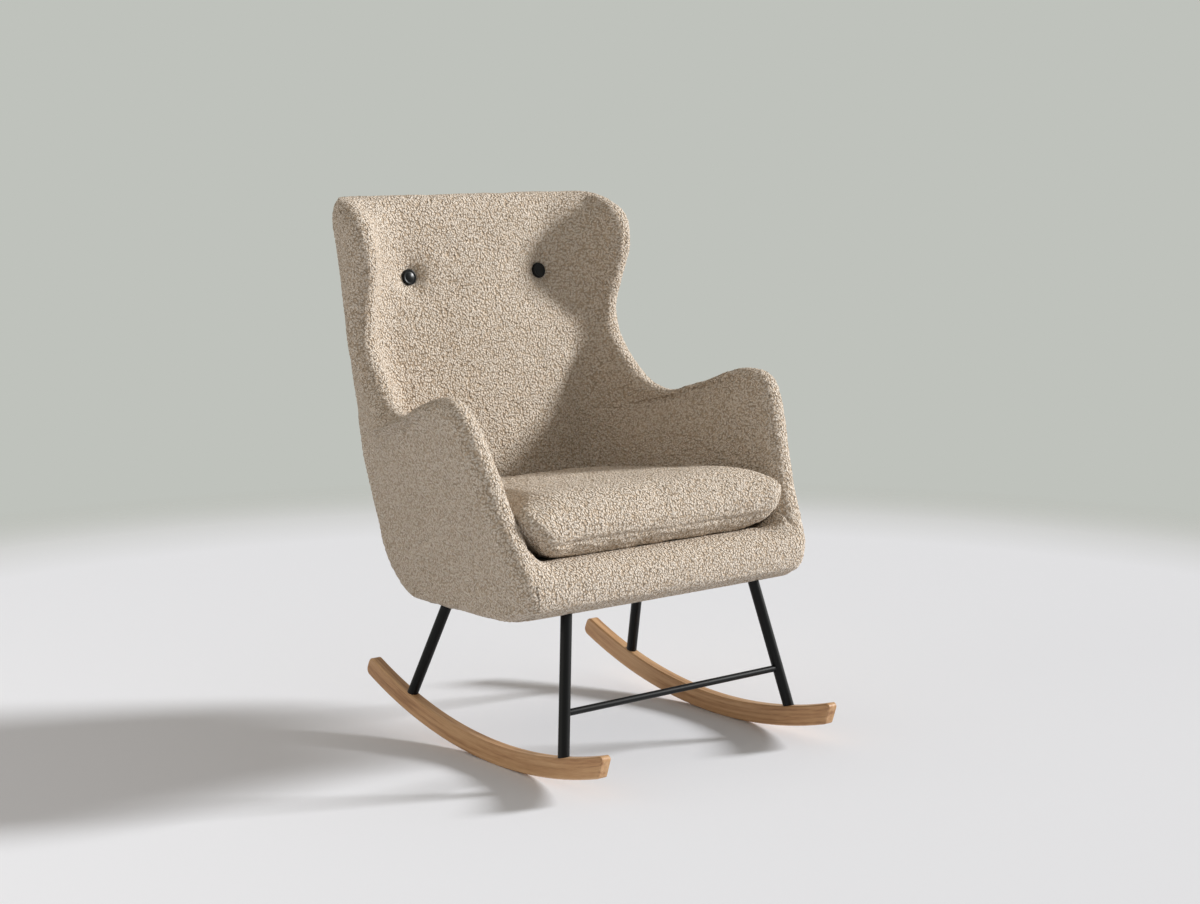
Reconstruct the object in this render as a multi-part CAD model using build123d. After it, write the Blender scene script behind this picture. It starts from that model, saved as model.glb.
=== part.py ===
"""Upholstered rocking chair: a padded wrap-around shell with wings on steel legs and bent oak rockers.

Millimetres. +Z is up and the chair faces -Y. The origin is on the floor, midway between the rockers,
at the point where they touch it. Left is -X and right is +X, as seen from the front.
"""

import os
from math import acos, asin, atan, cos, degrees, hypot, radians, sin, sqrt, tan

from build123d import *

# Rockers: flat bars bent to one arc
ROCKER_RADIUS = 985.0
ROCKER_HEIGHT = 36.0
ROCKER_WIDTH = 22.0
ROCKER_SPACING = 522.0
ROCKER_FRONT = 297.0
ROCKER_REAR = 405.0
ROCKER_NOSE_SLANT = 14.0
ROCKER_END_ROUND = 13.0
ROCKER_EDGE = 2.5

# Legs: round tubes between the rockers and plates under the seat frame
LEG_DIAMETER = 20.0
LEG_WALL = 1.5
FRONT_LEG_FOOT = -180.0
FRONT_LEG_TOP_X = 214.0
FRONT_LEG_TOP_Y = -129.0
REAR_LEG_FOOT = 265.0
REAR_LEG_TOP_X = 224.0
REAR_LEG_TOP_Y = 195.0
LEG_SEAT_GAP = 0.2
CROSSBAR_DIAMETER = 12.0
CROSSBAR_HEIGHT = 123.0
PLATE_WIDTH = 62.0
PLATE_LENGTH = 84.0
PLATE_THICKNESS = 3.0
PLATE_OFFSET = 22.0
PLATE_HOLE = 5.0
PLATE_HOLE_EDGE = 8.0

# Fasteners
PLUG_LENGTH = 22.0
PLUG_RISE = 6.0
PLUG_CLEARANCE = 0.1
BOLT_DIAMETER = 6.0
BOLT_HOLE = 6.6
BOLT_HEAD_DIAMETER = 10.0
BOLT_HEAD_HEIGHT = 6.0
BOLT_RECESS_DIAMETER = 12.0
BOLT_RECESS_DEPTH = 8.0
BOLT_IN_PLUG = 16.0
SCREW_DIAMETER = 4.4
SCREW_LENGTH = 24.0
SCREW_HEAD_DIAMETER = 9.0
SCREW_HEAD_HEIGHT = 2.4
FASTENER_CLEARANCE = 0.1

# Seat frame, on a plane that falls towards the back
SEAT_PITCH = 5.3
SEAT_FRONT = -135.0
SEAT_HEIGHT = 294.0
RAIL_HEIGHT = 68.0
RAIL_THICKNESS = 22.0
SIDE_RAIL_FRONT_HALF = 299.0
SIDE_RAIL_SPLAY = 9.6
BLOCK_HEIGHT = 40.0
BLOCK_INNER_HALF = 160.0
FRONT_BLOCK_LENGTH = 88.0
REAR_BLOCK_LENGTH = 140.0
WEB_WIDTH = 50.0
WEB_THICKNESS = 2.5
SEAT_WEB_COUNT = 5
SEAT_WEB_FIRST = 80.0
SEAT_WEB_PITCH = 74.0
DECK_THICKNESS = 11.5
DECK_GAP = 1.0
UNDER_HEM = 3.0
DUST_COVER_THICKNESS = 1.0
DUST_COVER_GAP = 1.0

# Shell: padded wall of round-nosed horseshoe sections
WALL_THICKNESS = 54.0
BACK_THICKNESS = 72.0
BACK_RECLINE = 11.0
BACK_FOOT_Y = 391.0
BACK_FOOT_Z = 376.0
BACK_CORNER = 60.0
BOTTOM_CORNER = 110.0
SHELL_BOTTOM_FRONT_Y = -129.0
SHELL_BOTTOM_FRONT_Z = 280.0
FRONT_HALF_WIDTH = 291.0
FRONT_HALF_HEIGHT = 267.0
ARM_FLARE = 9.2
REAR_HALF_LOW = 262.0
REAR_HALF_MID = 289.0
REAR_HALF_TOP = 296.0
REAR_MID_HEIGHT = 480.0
HOLLOW_ARM = 50.0
HOLLOW_WING = 85.0
HOLLOW_ARM_HEIGHT = 560.0
HOLLOW_WING_HEIGHT = 800.0
HOLLOW_RUN = 2.0
BACK_SEAM_HALF = 228.0
SHELL_TOP = 968.0

# Back frame inside the shell
POST_THICKNESS = 22.0
POST_WIDTH = 26.0
POST_INNER_HALF = 220.0
POST_LAP = 28.0
POST_TOP = 545.0
BACK_COVER = 16.0
BACK_RAIL_HEIGHT = 60.0
LOWER_RAIL_RISE = 40.0
REAR_RAIL_FOOT = -100.0
BACK_WEB_COUNT = 4
BACK_WEB_TOP = 440.0
BACK_WEB_PITCH = 87.0
BACK_WEB_BITE = 10.0
BACK_PANEL_FOOT = -40.0
SOFT_CLEARANCE = 0.3

# Side frames inside the shell
ARM_POST_DEPTH = 36.0
ARM_POST_FOOT_Y = -96.0
ARM_POST_HEAD_Y = -15.0
ARM_POST_HEAD_Z = 590.0
ARM_RAIL_HEIGHT = 34.0
ARM_RAIL_REAR_X = 254.0
ARM_RAIL_REAR_Z = 515.0
ARM_RAIL_FRONT_DROP = 22.0
WING_BOARD_FOOT = 435.0
WING_BOARD_TOP = 545.0
WING_BOARD_REACH = 84.0
WING_BOARD_HALF = 292.0
WING_BOARD_THICKNESS = 15.0
WING_BOARD_ROUND = 24.0

# Front rail pad
APRON_DEPTH = 75.0
APRON_TOP = 80.0
APRON_BULGE = 28.0

# Back buttons and their tufts
BUTTON_DIAMETER = 25.0
BUTTON_HEIGHT = 9.0
BUTTON_DOME = 4.0
BUTTON_SPACING = 304.0
TUFT_DEPTH = 15.0
TUFT_RADIUS = 40.0
TUFT_SPARE = 4.0
TIE_DIAMETER = 2.0
TIE_KNOT_DIAMETER = 8.0
TIE_KNOT_HEIGHT = 3.0

# Loose seat cushion
CUSHION_FRONT_HALF = 270.0
CUSHION_REAR_HALF = 207.0
CUSHION_FRONT = -20.0
CUSHION_LENGTH = 450.0
CUSHION_CORNER = 46.0
CUSHION_DRAW_IN = 6.0
CUSHION_HEIGHT = 112.0
CUSHION_LEVELS = [
    (0.0, 16.0, 0.7),
    (0.17, 1.0, 1.0),
    (0.43, -1.0, 1.0),
    (0.71, 9.0, 1.0),
    (0.87, 34.0, 1.1),
    (0.94, 64.0, 1.2),
    (0.98, 106.0, 1.1),
    (1.0, 158.0, 0.9),
]
CUSHION_COVER = 4.0
CUSHION_GAP = 0.3

BIG = 2000.0

seat_plane = Plane(
    origin=(0, SEAT_FRONT, SEAT_HEIGHT),
    x_dir=(1, 0, 0),
    z_dir=(0, sin(radians(SEAT_PITCH)), cos(radians(SEAT_PITCH))),
)

# The back's own plane: x across, y up the back, z forward. It runs through the middle of the back posts.
back_up = Vector(0, sin(radians(BACK_RECLINE)), cos(radians(BACK_RECLINE)))
back_forward = Vector(0, -cos(radians(BACK_RECLINE)), sin(radians(BACK_RECLINE)))
back_plane = Plane(
    origin=Vector(0, BACK_FOOT_Y, BACK_FOOT_Z) + back_forward * (BACK_COVER + POST_THICKNESS / 2),
    x_dir=(1, 0, 0),
    z_dir=back_forward,
)

nose = WALL_THICKNESS / 2
rocker_half = ROCKER_SPACING / 2
rocker_top_radius = ROCKER_RADIUS - ROCKER_HEIGHT
arm_slope = tan(radians(ARM_FLARE))


def block(plane, low, high):
    """Box between two corners given in a plane's own coordinates."""
    low, high = Vector(low), Vector(high)
    size = high - low
    middle = (high + low) * 0.5
    return plane * Pos(middle) * Box(size.X, size.Y, size.Z)


def rod(start, end, radius):
    """Round bar between two points."""
    start, end = Vector(start), Vector(end)
    return Solid.make_cylinder(radius, (end - start).length, Plane(start, z_dir=end - start))


def batten(start, end, width, depth, across):
    """Straight bar of rectangular section between two points, its width lying along the vector across."""
    start, end = Vector(start), Vector(end)
    axis = (end - start).normalized()
    plane = Plane(start, x_dir=across - axis * across.dot(axis), z_dir=axis)
    return plane * Pos(0, 0, (end - start).length / 2) * Box(width, depth, (end - start).length)


def mirrored(shape):
    """The same piece on the other side of the chair."""
    return mirror(shape, about=Plane.YZ)


def between(value, low, high, at_low, at_high):
    """Straight-line change from at_low to at_high as value goes from low to high, held beyond both."""
    share = min(1.0, max(0.0, (value - low) / (high - low)))
    return at_low + (at_high - at_low) * share


# Rockers


def on_rocker(y, radius):
    """Height of an arc about the rockers' centre, at a place along the chair."""
    return ROCKER_RADIUS - sqrt(radius * radius - y * y)


def rocker():
    """Bar between two arcs, with a rounded rear end, a slanted nose and eased edges."""
    low = ROCKER_RADIUS
    top = rocker_top_radius
    front_low = (-ROCKER_FRONT + ROCKER_NOSE_SLANT, on_rocker(ROCKER_FRONT - ROCKER_NOSE_SLANT, low))
    front_top = (-ROCKER_FRONT, on_rocker(ROCKER_FRONT, top))
    rear_low = (ROCKER_REAR, on_rocker(ROCKER_REAR, low))
    rear_share = rear_low[0] / low
    rear_top = (top * rear_share, on_rocker(top * rear_share, top))
    bottom = ThreePointArc(front_low, (0, 0), rear_low)
    upper = ThreePointArc(rear_top, (0, ROCKER_HEIGHT), front_top)
    outline = make_face([bottom, Line(rear_low, rear_top), upper, Line(front_top, front_low)])
    corners = outline.vertices().sort_by(Axis.X)
    outline = fillet(corners[2:], ROCKER_END_ROUND)
    outline = fillet(outline.vertices().sort_by(Axis.X)[:2], ROCKER_END_ROUND / 2)
    bar = extrude(Plane.YZ.offset(rocker_half - ROCKER_WIDTH / 2) * outline, ROCKER_WIDTH)
    sides = bar.faces().filter_by(Plane.YZ)
    bar = chamfer(sides.edges(), ROCKER_EDGE)
    for foot in (FRONT_LEG_FOOT, REAR_LEG_FOOT):
        bar -= bolt_way(foot)
    return bar


def bolt_line(foot):
    """Start on the rocker's underside and direction, square to the rocker, of the bolt at a leg's foot."""
    angle = asin(foot / rocker_top_radius)
    up = Vector(0, -sin(angle), cos(angle))
    start = Vector(rocker_half, ROCKER_RADIUS * sin(angle), ROCKER_RADIUS - ROCKER_RADIUS * cos(angle))
    return start, up


def bolt_way(foot):
    """Hole for the bolt through the rocker, with a recess for its head."""
    start, up = bolt_line(foot)
    hole = rod(start - up * BOLT_RECESS_DEPTH, start + up * (ROCKER_HEIGHT * 2), BOLT_HOLE / 2)
    recess = rod(start - up * BOLT_RECESS_DEPTH, start + up * BOLT_RECESS_DEPTH, BOLT_RECESS_DIAMETER / 2)
    return hole + recess


def bolt(foot):
    """Hexagon bolt from the recess, through the rocker, into the plug of the leg."""
    start, up = bolt_line(foot)
    seat = start + up * BOLT_RECESS_DEPTH
    hexagon = Plane(seat - up * BOLT_HEAD_HEIGHT, z_dir=up) * RegularPolygon(BOLT_HEAD_DIAMETER / 2, 6)
    head = extrude(hexagon, BOLT_HEAD_HEIGHT)
    shank_length = ROCKER_HEIGHT - BOLT_RECESS_DEPTH + BOLT_IN_PLUG
    return head + rod(seat, seat + up * shank_length, BOLT_DIAMETER / 2)


# Legs


def seat_point(x, y, rise):
    """Point at a given x and y whose height above the seat frame's underside is rise, square to it."""
    back = (y - SEAT_FRONT - rise * sin(radians(SEAT_PITCH))) / cos(radians(SEAT_PITCH))
    return seat_plane.from_local_coords(Vector(x, back, rise))


def leg_ends(foot, top_x, top_y):
    """Centres of a leg's foot, on the rocker, and of its head, under its plate."""
    low = Vector(rocker_half, foot, on_rocker(foot, rocker_top_radius))
    high = seat_point(top_x, top_y, -PLATE_THICKNESS)
    return low, high


def trimmed(shape):
    """What is left of a leg between the rocker's upper face and the underside of the plates."""
    well = rocker_top_radius - LEG_SEAT_GAP
    above = Plane((0, 0, ROCKER_RADIUS), z_dir=(1, 0, 0)) * Cylinder(well, BIG)
    below = block(seat_plane, (-BIG, -BIG, -BIG), (BIG, BIG, -PLATE_THICKNESS))
    return shape & above & below


def leg_core(low, high, radius):
    """Round bar along a leg, longer than the leg at both ends."""
    axis = (high - low).normalized()
    spare = axis * LEG_DIAMETER
    return rod(low - spare, high + spare, radius)


def leg(low, high):
    """Tube, cut to the rocker at its foot and to the plate at its head."""
    outer = leg_core(low, high, LEG_DIAMETER / 2)
    inner = leg_core(low, high, LEG_DIAMETER / 2 - LEG_WALL)
    return trimmed(outer - inner)


def plug(low, high, foot):
    """Threaded slug in the foot of a leg."""
    axis = (high - low).normalized()
    radius = LEG_DIAMETER / 2 - LEG_WALL - PLUG_CLEARANCE
    body = rod(low + axis * PLUG_RISE, low + axis * (PLUG_RISE + PLUG_LENGTH), radius)
    start, up = bolt_line(foot)
    hole = BOLT_DIAMETER / 2 + FASTENER_CLEARANCE
    return body - rod(start, start + up * (ROCKER_HEIGHT + BOLT_IN_PLUG + FASTENER_CLEARANCE), hole)


def plate_centre(high, offset):
    """Middle of a leg's plate in the seat plane's coordinates."""
    local = seat_plane.to_local_coords(high)
    return Vector(local.X, local.Y + offset, 0)


def screw_places(centre):
    """The four screw centres of a leg's plate, in the seat plane's coordinates."""
    across = PLATE_WIDTH / 2 - PLATE_HOLE_EDGE
    along = PLATE_LENGTH / 2 - PLATE_HOLE_EDGE
    return [Vector(centre.X + i * across, centre.Y + j * along, 0) for i in (-1, 1) for j in (-1, 1)]


def plate(centre):
    """Flat steel plate with four screw holes."""
    outline = Pos(centre.X, centre.Y) * Rectangle(PLATE_WIDTH, PLATE_LENGTH)
    for place in screw_places(centre):
        outline -= Pos(place.X, place.Y) * Circle(PLATE_HOLE / 2)
    return extrude(seat_plane.offset(-PLATE_THICKNESS) * outline, PLATE_THICKNESS)


def plate_room(centre):
    """Cut-out in the dust cover round a leg's plate."""
    half = Vector(PLATE_WIDTH / 2 + DUST_COVER_GAP, PLATE_LENGTH / 2 + DUST_COVER_GAP, PLATE_THICKNESS)
    return block(seat_plane, centre - half, centre + half)


def screw(place):
    """Hexagon-headed wood screw up through a plate, its thread left plain."""
    at = Pos(place.X, place.Y)
    head = seat_plane.offset(-PLATE_THICKNESS) * at * RegularPolygon(SCREW_HEAD_DIAMETER / 2, 6)
    shank = seat_plane.offset(-PLATE_THICKNESS) * at * RegularPolygon(SCREW_DIAMETER / 2, 6)
    return extrude(head, -SCREW_HEAD_HEIGHT) + extrude(shank, PLATE_THICKNESS + SCREW_LENGTH)


def screw_hole(place):
    """Hole in the wood for a screw."""
    low = seat_plane.from_local_coords(Vector(place.X, place.Y, -PLATE_THICKNESS))
    high = seat_plane.from_local_coords(Vector(place.X, place.Y, SCREW_LENGTH + FASTENER_CLEARANCE))
    return rod(low, high, SCREW_DIAMETER / 2 + FASTENER_CLEARANCE)


def crossbar(low, high):
    """Thin bar between the two front legs, coped to them."""
    share = (CROSSBAR_HEIGHT - low.Z) / (high.Z - low.Z)
    end = low + (high - low) * share
    bar = rod((-end.X, end.Y, end.Z), end, CROSSBAR_DIAMETER / 2)
    round_leg = leg_core(low, high, LEG_DIAMETER / 2 + FASTENER_CLEARANCE)
    return bar - round_leg - mirrored(round_leg)


# Shell


def back_line(z):
    """Depth of the outside back at a height on its straight part."""
    return BACK_FOOT_Y + tan(radians(BACK_RECLINE)) * (z - BACK_FOOT_Z)


def under_curve(share):
    """Point on the round between the shell's bottom and its outside back, from 0 at the bottom to 1."""
    up = Vector(0, sin(radians(BACK_RECLINE)), cos(radians(BACK_RECLINE)))
    ahead = Vector(0, -cos(radians(SEAT_PITCH)), sin(radians(SEAT_PITCH)))
    back_start = Vector(0, BACK_FOOT_Y, BACK_FOOT_Z)
    bottom_start = Vector(0, SHELL_BOTTOM_FRONT_Y, SHELL_BOTTOM_FRONT_Z)
    gap = bottom_start - back_start
    turn = up.Y * ahead.Z - up.Z * ahead.Y
    corner = back_start + up * ((gap.Y * ahead.Z - gap.Z * ahead.Y) / turn)
    half = acos(up.dot(ahead)) / 2
    middle = corner + (up + ahead).normalized() * (BOTTOM_CORNER / sin(half))
    to_bottom = corner + ahead * (BOTTOM_CORNER / tan(half)) - middle
    to_back = corner + up * (BOTTOM_CORNER / tan(half)) - middle
    sweep = acos(to_bottom.dot(to_back) / BOTTOM_CORNER**2)
    part = to_bottom * (sin(sweep * (1 - share)) / sin(sweep)) + to_back * (sin(sweep * share) / sin(sweep))
    return middle + part


def front_half(z):
    """Half width at the middle of the wall along the front of the arm, which leans outwards."""
    return FRONT_HALF_WIDTH + arm_slope * (z - FRONT_HALF_HEIGHT)


def rear_half(z):
    """Half width of the outside back at a height."""
    low = between(z, SHELL_BOTTOM_FRONT_Z, REAR_MID_HEIGHT, REAR_HALF_LOW, REAR_HALF_MID)
    return low if z < REAR_MID_HEIGHT else between(z, REAR_MID_HEIGHT, SHELL_TOP, REAR_HALF_MID, REAR_HALF_TOP)


def fan():
    """The shell's sections, bottom to top: padded edge (y, z), its half width, rear point and inset.

    Each section runs from a point of the padded edge, down the front of the arm, over the arm, through
    the dip and up the wing, to a point of the outside back. An inset draws a section in all round.
    """
    tucked = [
        (SHELL_BOTTOM_FRONT_Y, SHELL_BOTTOM_FRONT_Z, 0.0, 8.0),
        (-159.0, 303.0, 0.35, 0.0),
        (-163.0, 345.0, 0.7, 0.0),
        (-143.0, 388.0, 1.0, 0.0),
    ]
    arm_front = [(-115.0, 443.0, 362.0), (-76.0, 542.0, 388.0), (-46.0, 608.0, 408.0), (-29.0, 631.0, 418.0)]
    arm_top = [(-5.0, 645.0, 350.0, 428.0), (22.0, 648.0, 348.0, 438.0), (51.0, 643.0, 341.0, 449.0)]
    dip = [(125.0, 616.0, 326.0, 475.0), (217.0, 594.0, 305.0, 515.0), (260.0, 607.0, 296.0, 548.0)]
    waist = [(297.0, 637.0, 287.0, 590.0), (328.0, 669.0, 282.0, 634.0), (353.0, 703.0, 279.0, 680.0)]
    neck = [(361.0, 742.0, 279.0, 733.0)]
    wing = [(343.0, 806.0, 286.0, 803.0), (328.0, 872.0, 295.0, 872.0), (343.0, 920.0, 298.0, 918.0)]
    sections = []
    for y, z, share, inset in tucked:
        sections.append((y, z, front_half(z), under_curve(share), inset))
    for y, z, rear in arm_front:
        sections.append((y, z, front_half(z), Vector(0, back_line(rear), rear), 0.0))
    for y, z, half, rear in arm_top + dip + waist + neck + wing:
        sections.append((y, z, half, Vector(0, back_line(rear), rear), 0.0))
    for drop, step_back, inset in ((20.0, 24.0, 4.0), (0.0, 44.0, 18.0)):
        z = SHELL_TOP - drop
        sections.append((wing[-1][0] + step_back, z, wing[-1][2], Vector(0, back_line(z), z), inset))
    return sections


def arc_points(start, centre, end):
    """Start, middle and end of the short arc about a centre."""
    middle = ((start - centre).normalized() + (end - centre).normalized()).normalized()
    return start, centre + middle * (start - centre).length, end


def horseshoe(y, z, half, rear, inset):
    """Wire of one section: straight outside back, round corners, side walls, round noses, hollow corners.

    It lies in the plane through X and the line from the padded edge (y, z) to the rear point. In that
    plane, along is the distance from the padded edge.
    """
    line = rear - Vector(0, y, z)
    plane = Plane((0, y, z), x_dir=(1, 0, 0), z_dir=Vector(1, 0, 0).cross(line))
    round_nose = nose - inset
    length = line.length - inset
    corner = BACK_CORNER - inset
    width = rear_half(rear.Z) - inset
    hollow = between(rear.Z, HOLLOW_ARM_HEIGHT, HOLLOW_WING_HEIGHT, HOLLOW_ARM, HOLLOW_WING) + inset
    flat = length - (BACK_THICKNESS - 2 * inset)

    nose_centre = Vector(half, nose)
    corner_centre = Vector(width - corner, length - corner)
    reach = corner_centre - nose_centre
    lean = (round_nose - corner) / reach.length
    ahead = reach.normalized()
    outward = ahead * lean + Vector(ahead.Y, -ahead.X) * sqrt(1 - lean * lean)

    depth = flat - (nose - round_nose)
    wall_turn = acos(outward.Y)
    full_turn = acos(max(-1.0, 1 - (depth - HOLLOW_RUN) / (hollow + round_nose)))
    turn = min(wall_turn, full_turn)
    inward = Vector(-sin(turn), -cos(turn))
    run = (depth - (hollow + round_nose) * (1 - cos(turn))) / sin(turn)

    tip = Vector(half, nose - round_nose)
    nose_outer = nose_centre + outward * round_nose
    nose_inner = nose_centre + inward * round_nose
    corner_side = corner_centre + outward * corner
    corner_back = Vector(width - corner, length)
    hollow_side = nose_inner + Vector(-cos(turn), sin(turn)) * run
    hollow_centre = hollow_side + inward * hollow
    hollow_back = Vector(hollow_centre.X, flat)

    half_outline = [
        arc_points(corner_back, corner_centre, corner_side),
        (corner_side, nose_outer),
        arc_points(nose_outer, nose_centre, tip),
        arc_points(tip, nose_centre, nose_inner),
        (nose_inner, hollow_side),
        arc_points(hollow_side, hollow_centre, hollow_back),
    ]
    other_half = [[Vector(-p.X, p.Y) for p in reversed(points)] for points in reversed(half_outline)]
    outline = [(Vector(-corner_back.X, length), corner_back)]
    outline += half_outline + [(hollow_back, Vector(-hollow_back.X, flat))] + other_half
    edges = []
    for points in outline:
        placed = [plane.from_local_coords(Vector(p.X, p.Y, 0)) for p in points]
        edges.append(Edge.make_line(*placed) if len(placed) == 2 else Edge.make_three_point_arc(*placed))
    return Wire(edges)


def shell():
    """The whole padded wall as one loft."""
    return Solid.make_loft([horseshoe(*section) for section in fan()], ruled=True)


def flare_cut():
    """All that lies outside the leaning plane through the middle of the right arm's front."""
    plane = Plane(
        (FRONT_HALF_WIDTH, 0, FRONT_HALF_HEIGHT),
        x_dir=(0, 1, 0),
        z_dir=(cos(radians(ARM_FLARE)), 0, -sin(radians(ARM_FLARE))),
    )
    return plane * Pos(0, 0, BIG / 2) * Box(BIG, BIG, BIG)


def apron():
    """Front rail pad: a bulged front that rolls under the frame, between the two leaning planes."""
    tucked = fan()[:3]
    foot = Vector(0, tucked[0][0] + tucked[0][4], tucked[0][1])
    points = [foot] + [Vector(0, y, z) for y, z, *_ in tucked[1:]]
    local = [seat_plane.to_local_coords(p) for p in points]
    flat = [(p.Y, p.Z) for p in local]
    shoulder = (flat[2][0] + APRON_BULGE / 2, APRON_TOP - APRON_BULGE / 3)
    crest = (flat[2][0] + APRON_BULGE * 1.5, APRON_TOP)
    rear = apron_rear()
    outline = make_face(
        [
            ThreePointArc(flat[0], flat[1], flat[2]),
            ThreePointArc(flat[2], shoulder, crest),
            Polyline(crest, (rear, APRON_TOP), (rear, flat[0][1]), flat[0]),
        ]
    )
    side_plane = Plane(seat_plane.origin, x_dir=seat_plane.y_dir, z_dir=(1, 0, 0))
    pad = extrude(side_plane * outline, BIG / 2, both=True)
    return pad - flare_cut() - mirrored(flare_cut())


# Seat frame


def side_rail_line(along):
    """Half width of the middle of the side rails, a distance behind the front of the frame."""
    return SIDE_RAIL_FRONT_HALF - tan(radians(SIDE_RAIL_SPLAY)) * (along - RAIL_THICKNESS)


def rear_rail_front():
    """All that lies behind the front face of the rear rail."""
    face = POST_THICKNESS / 2 + RAIL_THICKNESS
    return block(back_plane, (-BIG, -BIG, -BIG), (BIG, BIG, face))


def rear_rail_reach():
    """Where the front face of the rear rail meets the underside of the seat frame."""
    face = back_plane.from_local_coords(Vector(0, REAR_RAIL_FOOT, POST_THICKNESS / 2 + RAIL_THICKNESS))
    return seat_plane.to_local_coords(face).Y


def plan_prism(points, low, high):
    """Upright block on the seat plane from an outline of (x, along) points."""
    return extrude(seat_plane.offset(low) * make_face(Polyline(*points, close=True)), high - low)


def front_rail():
    half = side_rail_line(0) + RAIL_THICKNESS / 2
    return block(seat_plane, (-half, 0, 0), (half, RAIL_THICKNESS, RAIL_HEIGHT))


def rear_rail():
    """Rail across the back, leaning with the posts that stand behind it."""
    low = (-POST_INNER_HALF - POST_WIDTH, REAR_RAIL_FOOT, POST_THICKNESS / 2)
    high = (POST_INNER_HALF + POST_WIDTH, REAR_RAIL_FOOT + RAIL_HEIGHT, POST_THICKNESS / 2 + RAIL_THICKNESS)
    return block(back_plane, low, high)


def side_rail():
    """Rail from the front rail to the rear rail, closing towards the back."""
    half = RAIL_THICKNESS / 2
    far = rear_rail_reach() + RAIL_HEIGHT
    outline = [
        (side_rail_line(RAIL_THICKNESS) - half, RAIL_THICKNESS),
        (side_rail_line(RAIL_THICKNESS) + half, RAIL_THICKNESS),
        (side_rail_line(far) + half, far),
        (side_rail_line(far) - half, far),
    ]
    return plan_prism(outline, 0, RAIL_HEIGHT) - rear_rail_front()


def corner_block(start, end):
    """Hardwood block against a side rail, between two distances behind the front of the frame."""
    half = RAIL_THICKNESS / 2
    outline = [
        (BLOCK_INNER_HALF, start),
        (side_rail_line(start) - half, start),
        (side_rail_line(end) - half, end),
        (BLOCK_INNER_HALF, end),
    ]
    return plan_prism(outline, 0, BLOCK_HEIGHT) - rear_rail_front()


def seat_web(index):
    """One elastic strap across the seat, on top of the side rails."""
    along = SEAT_WEB_FIRST + index * SEAT_WEB_PITCH
    half = side_rail_line(along + WEB_WIDTH / 2)
    low = (-half, along - WEB_WIDTH / 2, RAIL_HEIGHT)
    return block(seat_plane, low, (half, along + WEB_WIDTH / 2, RAIL_HEIGHT + WEB_THICKNESS))


def seat_well(low, high, spread, start):
    """Space between the side rails' middles, widened by spread, from a distance behind the frame's front."""
    end = rear_rail_reach() + RAIL_HEIGHT
    near, far = side_rail_line(start) + spread, side_rail_line(end) + spread
    prism = plan_prism([(-near, start), (near, start), (far, end), (-far, end)], low, high)
    return prism - rear_rail_front()


def apron_rear():
    """Where the back of the front rail pad is, behind the front of the frame."""
    return seat_plane.to_local_coords(Vector(0, fan()[2][0], fan()[2][1])).Y + APRON_DEPTH


# Back and side frames


def back_post():
    high = (POST_INNER_HALF + POST_WIDTH, POST_TOP, POST_THICKNESS / 2)
    foot = REAR_RAIL_FOOT + RAIL_HEIGHT - POST_LAP
    return block(back_plane, (POST_INNER_HALF, foot, -POST_THICKNESS / 2), high)


def back_rail(rise):
    low = (-POST_INNER_HALF, rise, -POST_THICKNESS / 2)
    return block(back_plane, low, (POST_INNER_HALF, rise + BACK_RAIL_HEIGHT, POST_THICKNESS / 2))


def back_web(index):
    """One elastic strap across the front of the back posts."""
    rise = BACK_WEB_TOP - index * BACK_WEB_PITCH
    half = POST_INNER_HALF + BACK_WEB_BITE
    low = (-half, rise - WEB_WIDTH / 2, POST_THICKNESS / 2)
    return block(back_plane, low, (half, rise + WEB_WIDTH / 2, POST_THICKNESS / 2 + WEB_THICKNESS))


def arm_post_ends():
    """Middle of the arm post's foot, on the side rail, and of its head."""
    foot = seat_point(side_rail_line(ARM_POST_FOOT_Y - SEAT_FRONT), ARM_POST_FOOT_Y, RAIL_HEIGHT)
    head = Vector(front_half(ARM_POST_HEAD_Z), ARM_POST_HEAD_Y, ARM_POST_HEAD_Z)
    return foot, head


def arm_post():
    """Leaning post in the front of the arm, standing on the side rail."""
    foot, head = arm_post_ends()
    axis = (head - foot).normalized()
    long = batten(foot - axis * ARM_POST_DEPTH, head, RAIL_THICKNESS, ARM_POST_DEPTH, Vector(1, 0, 0))
    return long - block(seat_plane, (-BIG, -BIG, -BIG), (BIG, BIG, RAIL_HEIGHT))


def arm_rail():
    """Rail inside the arm, from the arm post back to the back post, notched over the post's outer side."""
    foot, head = arm_post_ends()
    axis = (head - foot).normalized()
    front = head - axis * ARM_RAIL_FRONT_DROP
    rear_y = back_line(ARM_RAIL_REAR_Z)
    rear = Vector(ARM_RAIL_REAR_X, rear_y, ARM_RAIL_REAR_Z)
    bar = batten(front, rear, RAIL_THICKNESS, ARM_RAIL_HEIGHT, Vector(1, 0, 0))
    behind = block(back_plane, (-BIG, -BIG, -BIG), (BIG, BIG, -POST_THICKNESS / 2))
    return main_solid(bar - [behind, arm_post(), back_post()])


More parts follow.
